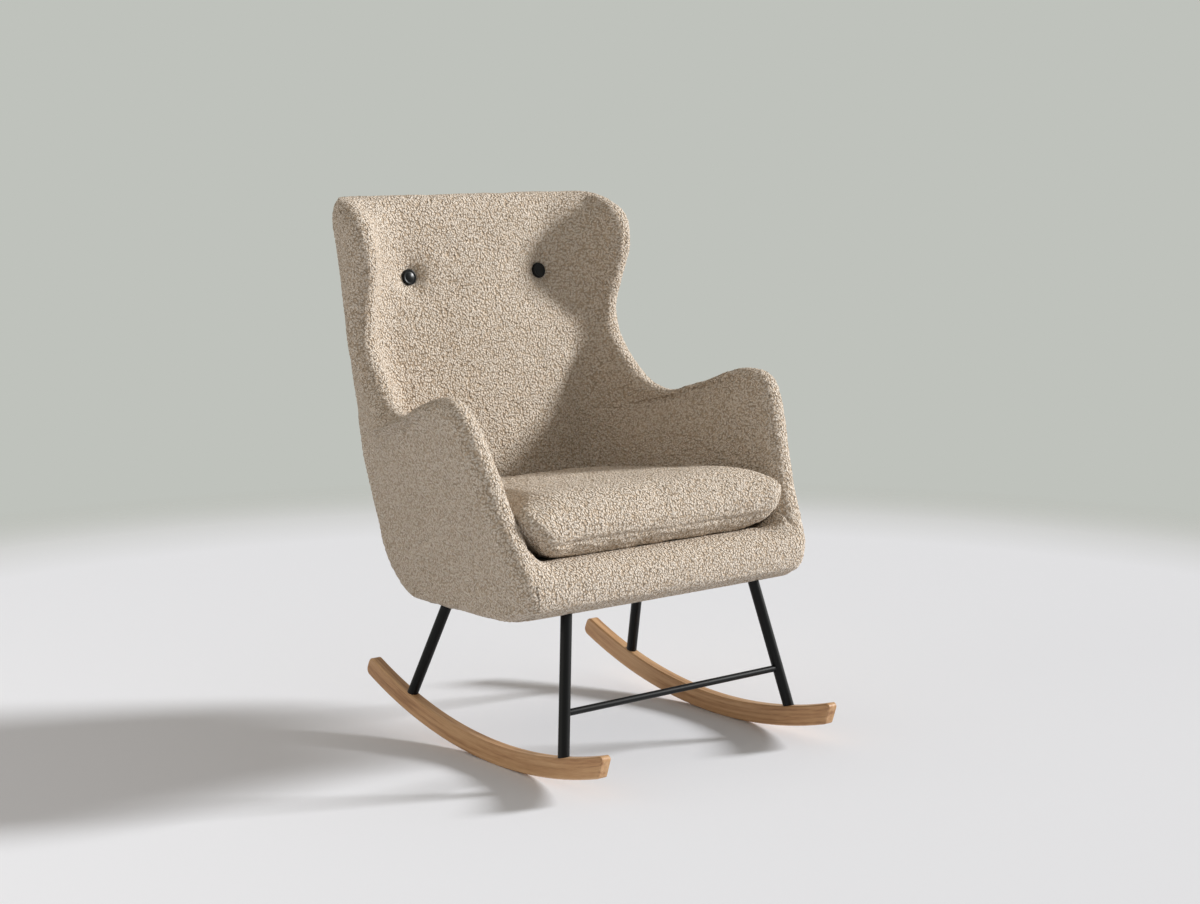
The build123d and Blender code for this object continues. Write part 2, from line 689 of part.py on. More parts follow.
def wing_board():
    """Plywood board that carries the wing, standing out from the front of the back post."""
    start = POST_THICKNESS / 2
    half = WING_BOARD_THICKNESS / 2
    middle = POST_INNER_HALF + POST_WIDTH - half
    outline = [
        (middle - half, start),
        (middle + half, start),
        (WING_BOARD_HALF + half, start + WING_BOARD_REACH),
        (WING_BOARD_HALF - half, start + WING_BOARD_REACH),
    ]
    rise = WING_BOARD_TOP - WING_BOARD_FOOT
    foot = back_plane.from_local_coords(Vector(0, WING_BOARD_FOOT, 0))
    plan = Plane(foot, x_dir=(1, 0, 0), z_dir=-back_up)
    board = extrude(plan * make_face(Polyline(*outline, close=True)), -rise)
    side = Plane(foot, x_dir=back_forward, z_dir=(-1, 0, 0))
    reach = start + WING_BOARD_REACH
    side_view = Pos(reach / 2, rise / 2) * Rectangle(reach, rise)
    side_view = fillet(side_view.vertices().sort_by(Axis.X)[2:], WING_BOARD_ROUND)
    return board & extrude(side * side_view, BIG, both=True)


# Buttons


def button_seat():
    """Middle of the right tuft's floor, and the plane of the surface there."""
    surface = BACK_THICKNESS - BACK_COVER - POST_THICKNESS / 2
    return Vector(BUTTON_SPACING / 2, BACK_WEB_TOP, surface - TUFT_DEPTH)


def turned(outline):
    """Revolve an outline of (radius, height) edges about the right button's axis."""
    plane = Plane(
        back_plane.from_local_coords(button_seat()), x_dir=(1, 0, 0), z_dir=-back_up
    )
    axis = Axis(plane.origin, back_forward)
    return revolve(plane * make_face(outline), axis)


def tuft():
    """The funnel that the button pulls into the inside back."""
    floor = BUTTON_DIAMETER / 2 + 1
    rise = TUFT_DEPTH + TUFT_SPARE
    run = TUFT_RADIUS - floor
    wall = Spline(
        (floor, 0),
        (floor + run * 0.25, rise * 0.45),
        (floor + run * 0.55, rise * 0.8),
        (TUFT_RADIUS, rise),
    )
    mouth = TUFT_RADIUS + run / 2
    edge = Polyline((TUFT_RADIUS, rise), (mouth, rise * 3), (0, rise * 3), (0, 0), (floor, 0))
    return turned([wall, edge])


def button():
    """Button with a straight side and a domed face."""
    radius = BUTTON_DIAMETER / 2
    low = FASTENER_CLEARANCE
    side = BUTTON_HEIGHT - BUTTON_DOME
    ball = (radius**2 + BUTTON_DOME**2) / (2 * BUTTON_DOME)
    middle = (radius / 2, BUTTON_HEIGHT - ball + sqrt(ball**2 - radius**2 / 4))
    outline = [
        Polyline((0, BUTTON_HEIGHT), (0, low), (radius, low), (radius, side)),
        ThreePointArc((radius, side), middle, (0, BUTTON_HEIGHT)),
    ]
    return turned(outline)


def six_sided(start, end, radius):
    """Straight six-sided bar between two points."""
    return extrude(Plane(start, z_dir=end - start) * RegularPolygon(radius, 6), (end - start).length)


def tie(spare=0.0):
    """Waxed twine from the back of a button to a knot behind the webbing, or the way for it."""
    seat = button_seat()
    behind = POST_THICKNESS / 2 - spare
    start = back_plane.from_local_coords(Vector(seat.X, seat.Y, seat.Z + FASTENER_CLEARANCE))
    end = back_plane.from_local_coords(Vector(seat.X, seat.Y, behind))
    knot_end = back_plane.from_local_coords(Vector(seat.X, seat.Y, behind - TIE_KNOT_HEIGHT))
    twine = six_sided(end, start, TIE_DIAMETER / 2 + spare)
    return twine + six_sided(knot_end, end, TIE_KNOT_DIAMETER / 2 + spare)


# Cushion


def cushion_wire(rise, inset, corner):
    """Rounded outline, narrower at the back, with sides drawn in between the corners."""
    front = CUSHION_FRONT + inset
    rear = CUSHION_FRONT + CUSHION_LENGTH - inset
    slope = (CUSHION_FRONT_HALF - CUSHION_REAR_HALF) / CUSHION_LENGTH
    spread = sqrt(1 + slope * slope)

    def side(along):
        return CUSHION_FRONT_HALF - inset * spread - slope * (along - CUSHION_FRONT)

    front_half_angle = (radians(90) - atan(slope)) / 2
    rear_half_angle = (radians(90) + atan(slope)) / 2
    run = Vector(-slope, 1).normalized()
    front_corner = Vector(side(front), front)
    rear_corner = Vector(side(rear), rear)
    front_cut = corner / tan(radians(90) - front_half_angle)
    rear_cut = corner / tan(radians(90) - rear_half_angle)
    a = front_corner - Vector(front_cut, 0)
    b = front_corner + run * front_cut
    c = rear_corner - run * rear_cut
    d = rear_corner - Vector(rear_cut, 0)
    front_centre = a + Vector(0, corner)
    rear_centre = d - Vector(0, corner)
    draw = CUSHION_DRAW_IN * (1 - inset / CUSHION_FRONT_HALF)
    side_middle = (b + c) * 0.5 - Vector(draw, 0)
    half_outline = [
        (Vector(0, front - draw / 2), a),
        arc_points(a, front_centre, b),
        (b, side_middle),
        (side_middle, c),
        arc_points(c, rear_centre, d),
        (d, Vector(0, rear - draw)),
    ]
    other_half = [[Vector(-p.X, p.Y) for p in reversed(points)] for points in reversed(half_outline)]
    edges = []
    for points in half_outline + other_half:
        placed = [seat_plane.from_local_coords(Vector(p.X, p.Y, rise)) for p in points]
        is_arc = len(placed) == 3
        edges.append(Edge.make_three_point_arc(*placed) if is_arc else Edge.make_line(*placed))
    return Wire(edges)


def cushion_body(skin, levels):
    """Crowned cushion through levels of (share of the height, inset, share of the corner radius).

    It is flat underneath, and drawn in all round by the thickness of a skin.
    """
    floor = RAIL_HEIGHT + WEB_THICKNESS + DECK_THICKNESS + CUSHION_GAP
    height = CUSHION_HEIGHT - 2 * skin
    wires = []
    for share, inset, round_share in levels:
        rise = floor + skin + height * share
        wires.append(cushion_wire(rise, inset + skin, CUSHION_CORNER * round_share))
    return Solid.make_loft(wires, ruled=True)


# Assembly


def without(shape, others):
    """A padded piece with room cut for the pieces inside it."""
    return shape - others


def main_solid(shape):
    """The largest solid of a cut shape."""
    return shape.solids().sort_by(SortBy.VOLUME)[-1]


def build():
    nodes = {}

    def pair(name, shape):
        nodes["left_" + name] = mirrored(shape)
        nodes["right_" + name] = shape

    pair("rocker", rocker())

    feet = {
        "front": (FRONT_LEG_FOOT, FRONT_LEG_TOP_X, FRONT_LEG_TOP_Y, PLATE_OFFSET),
        "rear": (REAR_LEG_FOOT, REAR_LEG_TOP_X, REAR_LEG_TOP_Y, PLATE_OFFSET),
    }
    plugs, bolts, screws, screw_holes, leg_rooms, plate_rooms = [], [], [], [], [], []
    for place, (foot, top_x, top_y, offset) in feet.items():
        low, high = leg_ends(foot, top_x, top_y)
        pair(place + "_leg", leg(low, high))
        leg_rooms.append(leg_core(low, high, LEG_DIAMETER / 2 + SOFT_CLEARANCE))
        centre = plate_centre(high, offset)
        pair(place + "_leg_plate", plate(centre))
        plate_rooms.append(plate_room(centre))
        plugs.append(plug(low, high, foot))
        bolts.append(bolt(foot))
        for spot in screw_places(centre):
            screws.append(screw(spot))
            screw_holes.append(screw_hole(spot))
        if place == "front":
            nodes["front_crossbar"] = crossbar(low, high)
    nodes["leg_plugs"] = Compound(plugs + [mirrored(s) for s in plugs])
    nodes["rocker_bolts"] = Compound(bolts + [mirrored(s) for s in bolts])
    nodes["leg_plate_screws"] = Compound(screws + [mirrored(s) for s in screws])

    reach = rear_rail_reach()
    front_block = corner_block(RAIL_THICKNESS, RAIL_THICKNESS + FRONT_BLOCK_LENGTH)
    rear_block = corner_block(reach - REAR_BLOCK_LENGTH, reach + RAIL_HEIGHT)
    nodes["front_seat_rail"] = without(front_rail(), screw_holes + [mirrored(s) for s in screw_holes])
    nodes["rear_seat_rail"] = rear_rail()
    pair("side_rail", without(side_rail(), screw_holes))
    pair("front_corner_block", without(front_block, screw_holes))
    pair("rear_corner_block", without(rear_block, screw_holes))
    seat_webs = [seat_web(i) for i in range(SEAT_WEB_COUNT)]
    nodes["seat_webbing"] = Compound(seat_webs)
    deck_low = RAIL_HEIGHT + WEB_THICKNESS
    deck_top = deck_low + DECK_THICKNESS
    deck_start = apron_rear() + SOFT_CLEARANCE
    nodes["seat_deck_pad"] = seat_well(deck_low, deck_top, -RAIL_THICKNESS / 2 - DECK_GAP, deck_start)

    under = RAIL_THICKNESS / 2 - UNDER_HEM
    dust = seat_well(-DUST_COVER_THICKNESS, 0, under - DUST_COVER_GAP, deck_start)
    nodes["dust_cover"] = without(dust, plate_rooms + [mirrored(s) for s in plate_rooms])

    pair("back_post", back_post())
    nodes["back_top_rail"] = back_rail(POST_TOP - BACK_RAIL_HEIGHT)
    nodes["back_lower_rail"] = back_rail(LOWER_RAIL_RISE)
    back_webs = [back_web(i) for i in range(BACK_WEB_COUNT)]
    ties = [tie(), mirrored(tie())]
    tie_ways = [tie(FASTENER_CLEARANCE), mirrored(tie(FASTENER_CLEARANCE))]
    nodes["back_webbing"] = Compound([without(web, tie_ways) for web in back_webs])
    pair("arm_post", arm_post())
    pair("arm_rail", arm_rail())
    pair("wing_board", wing_board())

    wall = shell()
    front_pad = apron()
    hidden = [nodes[n] for n in nodes if n.split("_")[-1] in ("rail", "post", "block", "board", "plate")]
    hidden += seat_webs + back_webs + leg_rooms + [mirrored(s) for s in leg_rooms]
    hidden += [nodes["leg_plate_screws"]]
    clear_top = deck_top + CUSHION_GAP
    well_above = seat_well(0, clear_top, 0, -BIG)
    well_below = seat_well(-BIG, 0, under, apron_rear())
    front_room = block(seat_plane, (-BIG, -BIG, -BIG), (BIG, apron_rear(), APRON_TOP))
    front_room = front_room - [flare_cut(), mirrored(flare_cut())]
    side_zone = Pos(BACK_SEAM_HALF + BIG / 2, 0, 0) * Box(BIG, BIG, BIG)
    middle_zone = Box(2 * BACK_SEAM_HALF, BIG, BIG)
    side_pad = without((wall & side_zone) - [well_above, well_below, front_room], hidden)
    pair("side_pad", main_solid(side_pad))
    nodes["front_rail_pad"] = main_solid(without(front_pad, hidden))

    middle = (wall & middle_zone) - [well_above, well_below]
    panel_low = (-BIG, BACK_PANEL_FOOT, -BIG)
    room = POST_THICKNESS / 2 + WEB_THICKNESS + SOFT_CLEARANCE
    well = block(back_plane, panel_low, (BIG, POST_TOP + SOFT_CLEARANCE, room))
    behind = block(back_plane, panel_low, (BIG, POST_TOP, -POST_THICKNESS / 2 - SOFT_CLEARANCE))
    tufts = [tuft(), mirrored(tuft())]
    inside = without(middle - well, hidden + tufts + tie_ways)
    nodes["inside_back_pad"] = main_solid(inside)
    nodes["outside_back_panel"] = main_solid(without(middle & behind, hidden))

    pair("back_button", button())
    nodes["button_ties"] = Compound(ties)

    foam = cushion_body(CUSHION_COVER, CUSHION_LEVELS[::2] + CUSHION_LEVELS[-1:])
    nodes["seat_cushion_cover"] = cushion_body(0.0, CUSHION_LEVELS) - foam
    nodes["seat_cushion_core"] = foam
    return nodes


if __name__ == "__main__":
    os.makedirs("parts", exist_ok=True)
    for name, shape in build().items():
        export_step(shape, f"parts/{name}.step")
        print(f"{name}: {len(shape.solids())} solids, {shape.volume / 1000:.1f} cm3")
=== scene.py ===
# %% [markdown]
# # An upholstered rocking chair
# This lesson dresses a chair that was modelled as solids. The steel legs, the oak rockers and the hidden
# wooden frame stay as they are and get finishes. Everything soft is made again here, because cloth over foam
# has round edges, creases and a nap that solids don't have. Lengths are metres, +Z is up, and the chair
# faces -Y.

import math

import bpy
import numpy as np
from mathutils import Matrix


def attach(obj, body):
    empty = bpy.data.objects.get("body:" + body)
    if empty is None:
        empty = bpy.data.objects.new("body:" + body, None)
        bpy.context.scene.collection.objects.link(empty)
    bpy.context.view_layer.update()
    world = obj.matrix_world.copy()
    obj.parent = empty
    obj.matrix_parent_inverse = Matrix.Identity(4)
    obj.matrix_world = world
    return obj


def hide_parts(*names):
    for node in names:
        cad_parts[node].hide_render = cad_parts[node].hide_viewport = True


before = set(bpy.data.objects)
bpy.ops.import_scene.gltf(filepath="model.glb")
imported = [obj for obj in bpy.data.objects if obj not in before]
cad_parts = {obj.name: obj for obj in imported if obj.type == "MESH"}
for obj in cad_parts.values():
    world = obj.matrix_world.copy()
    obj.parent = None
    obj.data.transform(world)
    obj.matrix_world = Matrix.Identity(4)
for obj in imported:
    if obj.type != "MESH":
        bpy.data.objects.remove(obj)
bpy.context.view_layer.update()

# %% [markdown]
# ## Surfaces from grids
# Each soft piece is a grid of points: rows that run one way, columns that run the other. It could be pushed
# and pulled by hand from a cube, but a grid that is worked out can be changed by one number. One helper turns
# such a grid into a mesh. It takes whole arrays, so there is no loop over points. A ring of columns may be
# closed, and the two open ends of a tube get a face each.


# %% Mesh helpers
def grid_faces(rows, columns, closed):
    """Four-cornered faces between neighbouring rows and columns of a grid, round the ring if it is closed."""
    row = np.arange(rows - 1)[:, None]
    column = np.arange(columns if closed else columns - 1)[None, :]
    following = (column + 1) % columns
    corners = (row * columns + column, (row + 1) * columns + column)
    corners += ((row + 1) * columns + following, row * columns + following)
    return np.stack(np.broadcast_arrays(*corners), axis=-1).reshape(-1, 4).tolist()


def tube_faces(rows, columns):
    """Faces of a tube of closed rings, with one face over its first ring and one over its last."""
    ring = np.arange(columns)
    ends = [ring.tolist(), (ring[::-1] + (rows - 1) * columns).tolist()]
    return grid_faces(rows, columns, closed=True) + ends


def new_object(name, mesh):
    """A new object that holds a mesh, linked to the scene."""
    thing = bpy.data.objects.new(name, mesh)
    bpy.context.scene.collection.objects.link(thing)
    return thing


def make_piece(name, points, faces, body):
    """A smooth-shaded object from an array of points and a list of faces, riding on a body."""
    mesh = bpy.data.meshes.new(name)
    mesh.from_pydata(points.reshape(-1, 3).tolist(), [], faces)
    mesh.validate()
    mesh.polygons.foreach_set("use_smooth", np.ones(len(mesh.polygons), dtype=bool))
    mesh.update()
    piece = new_object(name, mesh)
    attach(piece, body)
    return piece


print("a tube of 3 rings of 8 points has", len(tube_faces(3, 8)), "faces")

# %% [markdown]
# ## Where the photographer stood
# The camera stands in front of the chair, to the left as seen from there, and a little higher than the back.
# A constraint could aim it, but two angles say the same in plain numbers: a turn about the upright axis and a
# tilt downwards. They give the camera's own three directions, which fill its matrix.

# %% Camera
CAMERA_PLACE = (-2.462, -2.975, 1.108)
CAMERA_TURN = math.radians(-39.2)
CAMERA_TILT = math.radians(8.6)
CAMERA_LENS = 65.85
SENSOR_WIDTH = 36.0

backward = np.array(
    [
        math.sin(CAMERA_TURN) * math.cos(CAMERA_TILT),
        -math.cos(CAMERA_TURN) * math.cos(CAMERA_TILT),
        math.sin(CAMERA_TILT),
    ]
)
rightward = np.array([math.cos(CAMERA_TURN), math.sin(CAMERA_TURN), 0.0])
upward = np.cross(backward, rightward)

camera = bpy.data.objects.new("camera", bpy.data.cameras.new("camera"))
camera.data.lens = CAMERA_LENS
camera.data.sensor_width = SENSOR_WIDTH
camera.data.sensor_fit = "HORIZONTAL"
placing = np.eye(4)
placing[:3, :3] = np.stack([rightward, upward, backward], axis=1)
placing[:3, 3] = CAMERA_PLACE
camera.matrix_world = Matrix(placing.tolist())
bpy.context.scene.collection.objects.link(camera)
bpy.context.scene.camera = camera
print("camera looks along", (-backward).round(3))

# %% [markdown]
# ## The padded shell
# One wall of foam and cloth wraps round the sitter: up the front of one arm, along it, through a dip, up the
# wing beside the head, and the same on the other side. It could be boxes with rounded edges, but then the
# arm would not flow into the wing. Instead a fan of sections is swept along the padded edge. Each section is
# a horseshoe that runs from the edge back to the outside of the chair. The fan's main stations are listed
# here: the edge's depth and height, how far it is from the middle, and the height where its section meets
# the outside back. The lowest sections end on the rounded underside instead.

# %% Stations of the fan
BACK_RECLINE = math.radians(11.0)
BACK_FOOT = (0.391, 0.376)
FRONT_HALF_WIDTH = 0.291
FRONT_HALF_HEIGHT = 0.267
ARM_FLARE = math.radians(9.2)
UNDER_ROUND = [(0.264, 0.2435), (0.318, 0.254), (0.361, 0.288), (0.382, 0.332)]

EDGE_FRONT = [(-0.129, 0.280), (-0.159, 0.303), (-0.163, 0.345), (-0.143, 0.388)]
EDGE_ARM_FRONT = [(-0.115, 0.443), (-0.076, 0.542), (-0.046, 0.608), (-0.029, 0.631)]
EDGE_ARM_TOP = [(-0.005, 0.645), (0.022, 0.648), (0.051, 0.643)]
EDGE_DIP = [(0.125, 0.616), (0.217, 0.594), (0.260, 0.607)]
EDGE_WAIST = [(0.296, 0.637), (0.326, 0.669), (0.349, 0.703), (0.356, 0.742)]
EDGE_WING = [(0.343, 0.806), (0.329, 0.862), (0.334, 0.904)]
EDGE_WING_TOP = [(0.350, 0.935), (0.379, 0.958), (0.421, 0.968)]
HALF_UPPER = [0.350, 0.348, 0.341, 0.326, 0.305, 0.297, 0.290, 0.286, 0.284, 0.284]
HALF_WING = [0.289, 0.295, 0.298, 0.296, 0.290, 0.279]
REAR_ARM_FRONT = [0.362, 0.388, 0.408, 0.418]
REAR_UPPER = [0.428, 0.438, 0.449, 0.475, 0.515, 0.548, 0.590, 0.634, 0.680, 0.733]
REAR_WING = [0.803, 0.862, 0.904, 0.935, 0.958, 0.968]


def back_line(height):
    """Depth of the outside back at a height: a straight line that leans back."""
    return BACK_FOOT[0] + math.tan(BACK_RECLINE) * (height - BACK_FOOT[1])


def arm_line(height):
    """Distance of the arms' padded front from the middle at a height: a straight line that flares out."""
    return FRONT_HALF_WIDTH + math.tan(ARM_FLARE) * (height - FRONT_HALF_HEIGHT)


arm_edge = EDGE_FRONT + EDGE_ARM_FRONT
edge = np.array(arm_edge + EDGE_ARM_TOP + EDGE_DIP + EDGE_WAIST + EDGE_WING + EDGE_WING_TOP)
half_width = np.concatenate([arm_line(edge[: len(arm_edge), 1]), HALF_UPPER, HALF_WING])
rear_height = np.array(REAR_ARM_FRONT + REAR_UPPER + REAR_WING)
rear = np.concatenate([UNDER_ROUND, np.stack([back_line(rear_height), rear_height], axis=1)])
print("stations", len(edge))

# %% [markdown]
# ## Curves through a few points
# The stations are few, so smooth curves are drawn through them. Blender's own curve objects could do that,
# but a short formula keeps everything in arrays. A second helper is a soft step, which lets one form fade
# into another.


# %% Curve helpers
def spline(knots, values, places):
    """Smooth curve through values at knots: Hermite pieces whose slopes are centred differences."""
    slopes = np.gradient(values, knots)
    index = np.clip(np.searchsorted(knots, places) - 1, 0, len(knots) - 2)
    width = knots[index + 1] - knots[index]
    share = (places - knots[index]) / width
    rise = share * share * (3 - 2 * share)
    start_bend = share * (1 - share) ** 2 * width
    end_bend = share * share * (share - 1) * width
    level = values[index] * (1 - rise) + values[index + 1] * rise
    return level + slopes[index] * start_bend + slopes[index + 1] * end_bend


def curve_columns(knots, table, places):
    """Every column of a table drawn as a smooth curve over the knots, read at the places."""
    return np.stack([spline(knots, column, places) for column in table.T], axis=1)


def path_lengths(points):
    """How far each point of a path lies from its start, along straight runs."""
    return np.concatenate([[0.0], np.cumsum(np.hypot(*np.diff(points, axis=0).T))])


def ease(value, low, high):
    """0 below low, 1 above high, and a smooth step between them."""
    share = np.clip((value - low) / (high - low), 0.0, 1.0)
    return share * share * (3 - 2 * share)


print("padded edge", path_lengths(edge)[-1].round(3), "m long")

# %% [markdown]
# ## Rings along the edge
# The edge is cut into many rings. Where a section crosses the padded edge at a slant, a round nose would look
# squashed, so the nose is stretched by one over the sine of that angle. At the top and at the foot the rings
# are drawn in, which rounds the shell's rims.

# %% Rings
RINGS = 290
SHELL_TOP = 0.968
TOP_ROUND = 0.056
TOP_DRAW_IN = 0.024
FOOT_ROUND = 0.03
FOOT_DRAW_IN = 0.008
NOSE_STRETCH_LIMIT = 3.0
LEAST_SLANT = 0.001
SMOOTHING_RINGS = 15

travel = path_lengths(edge)
places = np.linspace(0.0, travel[-1], RINGS)
tip = curve_columns(travel, edge, places)
ring_half = spline(travel, half_width, places)
ring_rear = curve_columns(travel, rear, places)

heading = np.gradient(tip, axis=0)
section_line = ring_rear - tip
slant = heading[:, 0] * section_line[:, 1] - heading[:, 1] * section_line[:, 0]
slant = np.abs(slant) / (np.linalg.norm(heading, axis=1) * np.linalg.norm(section_line, axis=1))
stretch = np.clip(1 / np.maximum(slant, LEAST_SLANT), 1.0, NOSE_STRETCH_LIMIT)
window = np.hanning(SMOOTHING_RINGS)
stretch = np.pad(stretch, SMOOTHING_RINGS // 2, mode="edge")
stretch = np.convolve(stretch, window / window.sum(), mode="valid")
rounding = np.clip((ring_rear[:, 1] - (SHELL_TOP - TOP_ROUND)) / TOP_ROUND, 0.0, 1.0)
inset = TOP_DRAW_IN * (1 - np.sqrt(1 - rounding**2))
inset += FOOT_DRAW_IN * (1 - ease(places, 0.0, FOOT_ROUND))
print("rings", RINGS, "nose stretch up to", stretch.max().round(2))

# %% [markdown]
# ## One section
# A section is worked out for all rings at once. From the middle of the outside back it goes along a straight
# line, round the rear corner, along the outside of the wall and round the nose. Then it comes back along the
# inside wall, round a hollow corner and along the inside back. Every part is a line or an arc, with its own
# number of points, so one helper for each kind is enough.


# %% Lines and arcs
def spoke(angle):
    """Unit step at an angle from straight back: its sine sideways, its cosine backwards."""
    return np.stack([np.sin(angle), np.cos(angle)], axis=-1)


def along_line(start, end, count):
    """Points from start up to, not including, end, closer together towards the end."""
    share = np.arange(count) / count
    share = share * (2 - share)
    return start[:, None] * (1 - share)[None, :, None] + end[:, None] * share[None, :, None]


def along_arc(centre, radius, start, end, count):
    """Points on an arc about a centre, from a start angle up to, not including, an end angle."""
    angle = start[:, None] + (end - start)[:, None] * (np.arange(count) / count)[None, :]
    return centre[:, None] + radius[:, None, None] * spoke(angle)


print("straight back", spoke(np.array([0.0])))

# %% [markdown]
# The rear corners' places and the hollow's radius change with height, so they are tables of height and size.
# The hollow is tight at the seat and wide beside the head.

# %% Section function
WALL_THICKNESS = 0.054
BACK_THICKNESS = 0.072
BACK_CORNER = 0.060
POINTS_BACK = 44
POINTS_CORNER = 26
POINTS_WALL = 60
POINTS_NOSE = 26
REAR_WIDTHS = [(0.28, 0.262), (0.48, 0.289), (0.968, 0.296)]
HOLLOW_ROUND = [(0.50, 0.045), (0.62, 0.075), (0.80, 0.130)]
HOLLOW_RUN = 0.002


def shell_section():
    """Outside and inside of the right half, as (distance from the middle, distance behind the edge).

    Angles are measured from straight back. The outside wall is the line that touches the nose circle and
    the corner circle. The inside wall leaves the nose at the same slope and meets the hollow's arc. The
    inside back's distance behind the edge comes third.
    """
    nose_full = np.full(RINGS, WALL_THICKNESS / 2)
    nose = nose_full - inset
    length = np.linalg.norm(section_line, axis=1) - inset
    corner = BACK_CORNER - inset
    width = np.interp(ring_rear[:, 1], *np.transpose(REAR_WIDTHS)) - inset
    hollow = np.interp(ring_rear[:, 1], *np.transpose(HOLLOW_ROUND)) + inset
    flat = length - (BACK_THICKNESS - 2 * inset)
    nose_centre = np.stack([ring_half, nose_full], axis=1)
    corner_centre = np.stack([width - corner, length - corner], axis=1)
    reach = corner_centre - nose_centre
    distance = np.linalg.norm(reach, axis=1)
    wall_angle = np.arctan2(reach[:, 0], reach[:, 1]) + np.arccos((nose - corner) / distance)
    depth = flat - (nose_full - nose)
    full_turn = np.arccos(np.clip(1 - (depth - HOLLOW_RUN) / (hollow + nose), -1.0, 1.0))
    turn = np.minimum(wall_angle, full_turn)
    run = (depth - (hollow + nose) * (1 - np.cos(turn))) / np.sin(turn)

    none = np.zeros(RINGS)
    nose_outer = nose_centre + nose[:, None] * spoke(wall_angle)
    corner_side = corner_centre + corner[:, None] * spoke(wall_angle)
    corner_back = np.stack([width - corner, length], axis=1)
    nose_inner = nose_centre - nose[:, None] * spoke(turn)
    hollow_side = nose_inner + run[:, None] * np.stack([-np.cos(turn), np.sin(turn)], axis=1)
    hollow_centre = hollow_side - hollow[:, None] * spoke(turn)
    hollow_back = np.stack([hollow_centre[:, 0], flat], axis=1)
    tip_point = np.stack([ring_half, nose_full - nose], axis=1)

    outside = [
        along_line(np.stack([none, length], axis=1), corner_back, POINTS_BACK),
        along_arc(corner_centre, corner, none, wall_angle, POINTS_CORNER),
        along_line(corner_side, nose_outer, POINTS_WALL),
        along_arc(nose_centre, nose, wall_angle, none + math.pi, POINTS_NOSE),
        tip_point[:, None],
    ]
    inside = [
        along_line(np.stack([none, flat], axis=1), hollow_back, POINTS_BACK),
        along_arc(hollow_centre, hollow, none, turn, POINTS_CORNER),
        along_line(hollow_side, nose_inner, POINTS_WALL),
        along_arc(nose_centre, -nose, turn, none, POINTS_NOSE),
        tip_point[:, None],
    ]
    return np.concatenate(outside, axis=1), np.concatenate(inside, axis=1), flat


outside, inside, flat_depth = shell_section()
print("points round half a section", outside.shape[1] + inside.shape[1])

# %% [markdown]
# ## From section to wall
# The slanted noses are stretched now. Distances up to the nose's radius grow, and the rest of the wall
# makes room for them. Then each section is laid along its line from the padded edge to the back, the left
# half is the right half mirrored, and the rings stack up into a closed wall.

# %% Lay the sections out
MOST_NOSE = 0.6
CAUGHT_UP = 0.9
LEAST_RUN = 0.001
MIRROR = np.array([-1.0, 1.0, 1.0])


def stretched(distance):
    """Distance behind the edge with the nose drawn out: steep up to the nose radius, then catching up.

    The nose takes at most a share of the section's depth, and past another share nothing changes.
    """
    nose = WALL_THICKNESS / 2
    most = np.maximum(1.0, MOST_NOSE * flat_depth / nose)
    drawn = (np.minimum(stretch, most) * nose)[:, None]
    far = np.maximum(CAUGHT_UP * flat_depth, nose + LEAST_RUN)[:, None]
    behind = drawn + (distance - nose) * (far - drawn) / (far - nose)
    return np.where(distance < nose, distance * drawn / nose, np.where(distance < far, behind, distance))


def laid_out(section):
    """Section points in space: sideways by the first number, back along the section's line by the second."""
    unit = section_line / np.linalg.norm(section_line, axis=1, keepdims=True)
    back = stretched(section[..., 1])
    depth = tip[:, None, 0] + back * unit[:, None, 0]
    height = tip[:, None, 1] + back * unit[:, None, 1]
    return np.stack([section[..., 0], depth, height], axis=-1)


right_outside = laid_out(outside)
right_inside = laid_out(inside)
left_inside = right_inside[:, 1:] * MIRROR
left_outside = right_outside[:, -2:0:-1] * MIRROR
wall = np.concatenate([right_outside, right_inside[:, -2::-1], left_inside, left_outside], axis=1)
half_count = right_outside.shape[1]
ring_count = wall.shape[1]
print("wall", wall.shape)

# %% [markdown]
# The wall has no bottom and no top yet. One large face there would fold over itself, because the horseshoe is
# hollow. So narrow faces bridge each outside point to its partner on the inside. At the nose the two sides
# meet, and the faces there lose their doubled corner.

# %% Close the ends
step = np.arange(half_count - 1)
right_cap = np.stack([step, step + 1, 2 * half_count - 3 - step, 2 * half_count - 2 - step], axis=1)
left_cap = np.stack(
    [
        (ring_count - step - 1) % ring_count,
        (ring_count - step) % ring_count,
        2 * half_count - 2 + step,
        2 * half_count - 1 + step,
    ],
    axis=1,
)
bottom_cap = np.concatenate([right_cap, left_cap])
top_cap = bottom_cap[:, ::-1] + (RINGS - 1) * ring_count


def without_doubles(corners):
    """A face's corners with repeats left out."""
    return list(dict.fromkeys(corners))


cap_faces = [without_doubles(face) for face in np.concatenate([bottom_cap, top_cap]).tolist()]
wall_faces = grid_faces(RINGS, ring_count, closed=True) + cap_faces
print("wall faces", len(wall_faces))

# %% [markdown]
# ## Padding is never flat
# Cloth over foam is uneven at three scales: slow waves, nubs of yarn, and the forms that the maker sews in.
# Bump in the material could suggest them, but the exported mesh would stay smooth. Here the points move
# along their normals, so the mesh has them too. The waves are sines on turned axes, so they don't line up
# with the grid.

# %% Normals and ripples
LEAST_AREA = 1e-12
NUB_HEIGHT = 0.0006
NUB_WAVES = [(0.014, 11), (0.019, 12)]


def ring_normals(rings):
    """Outward unit normals of a stack of closed rings: the cross product of its two directions of travel."""
    up = np.gradient(rings, axis=0)
    wrapped = np.concatenate([rings[:, -1:], rings, rings[:, :1]], axis=1)
    along = np.gradient(wrapped, axis=1)[:, 1:-1]
    normal = np.cross(up, along)
    return normal / np.maximum(np.linalg.norm(normal, axis=-1, keepdims=True), LEAST_AREA)


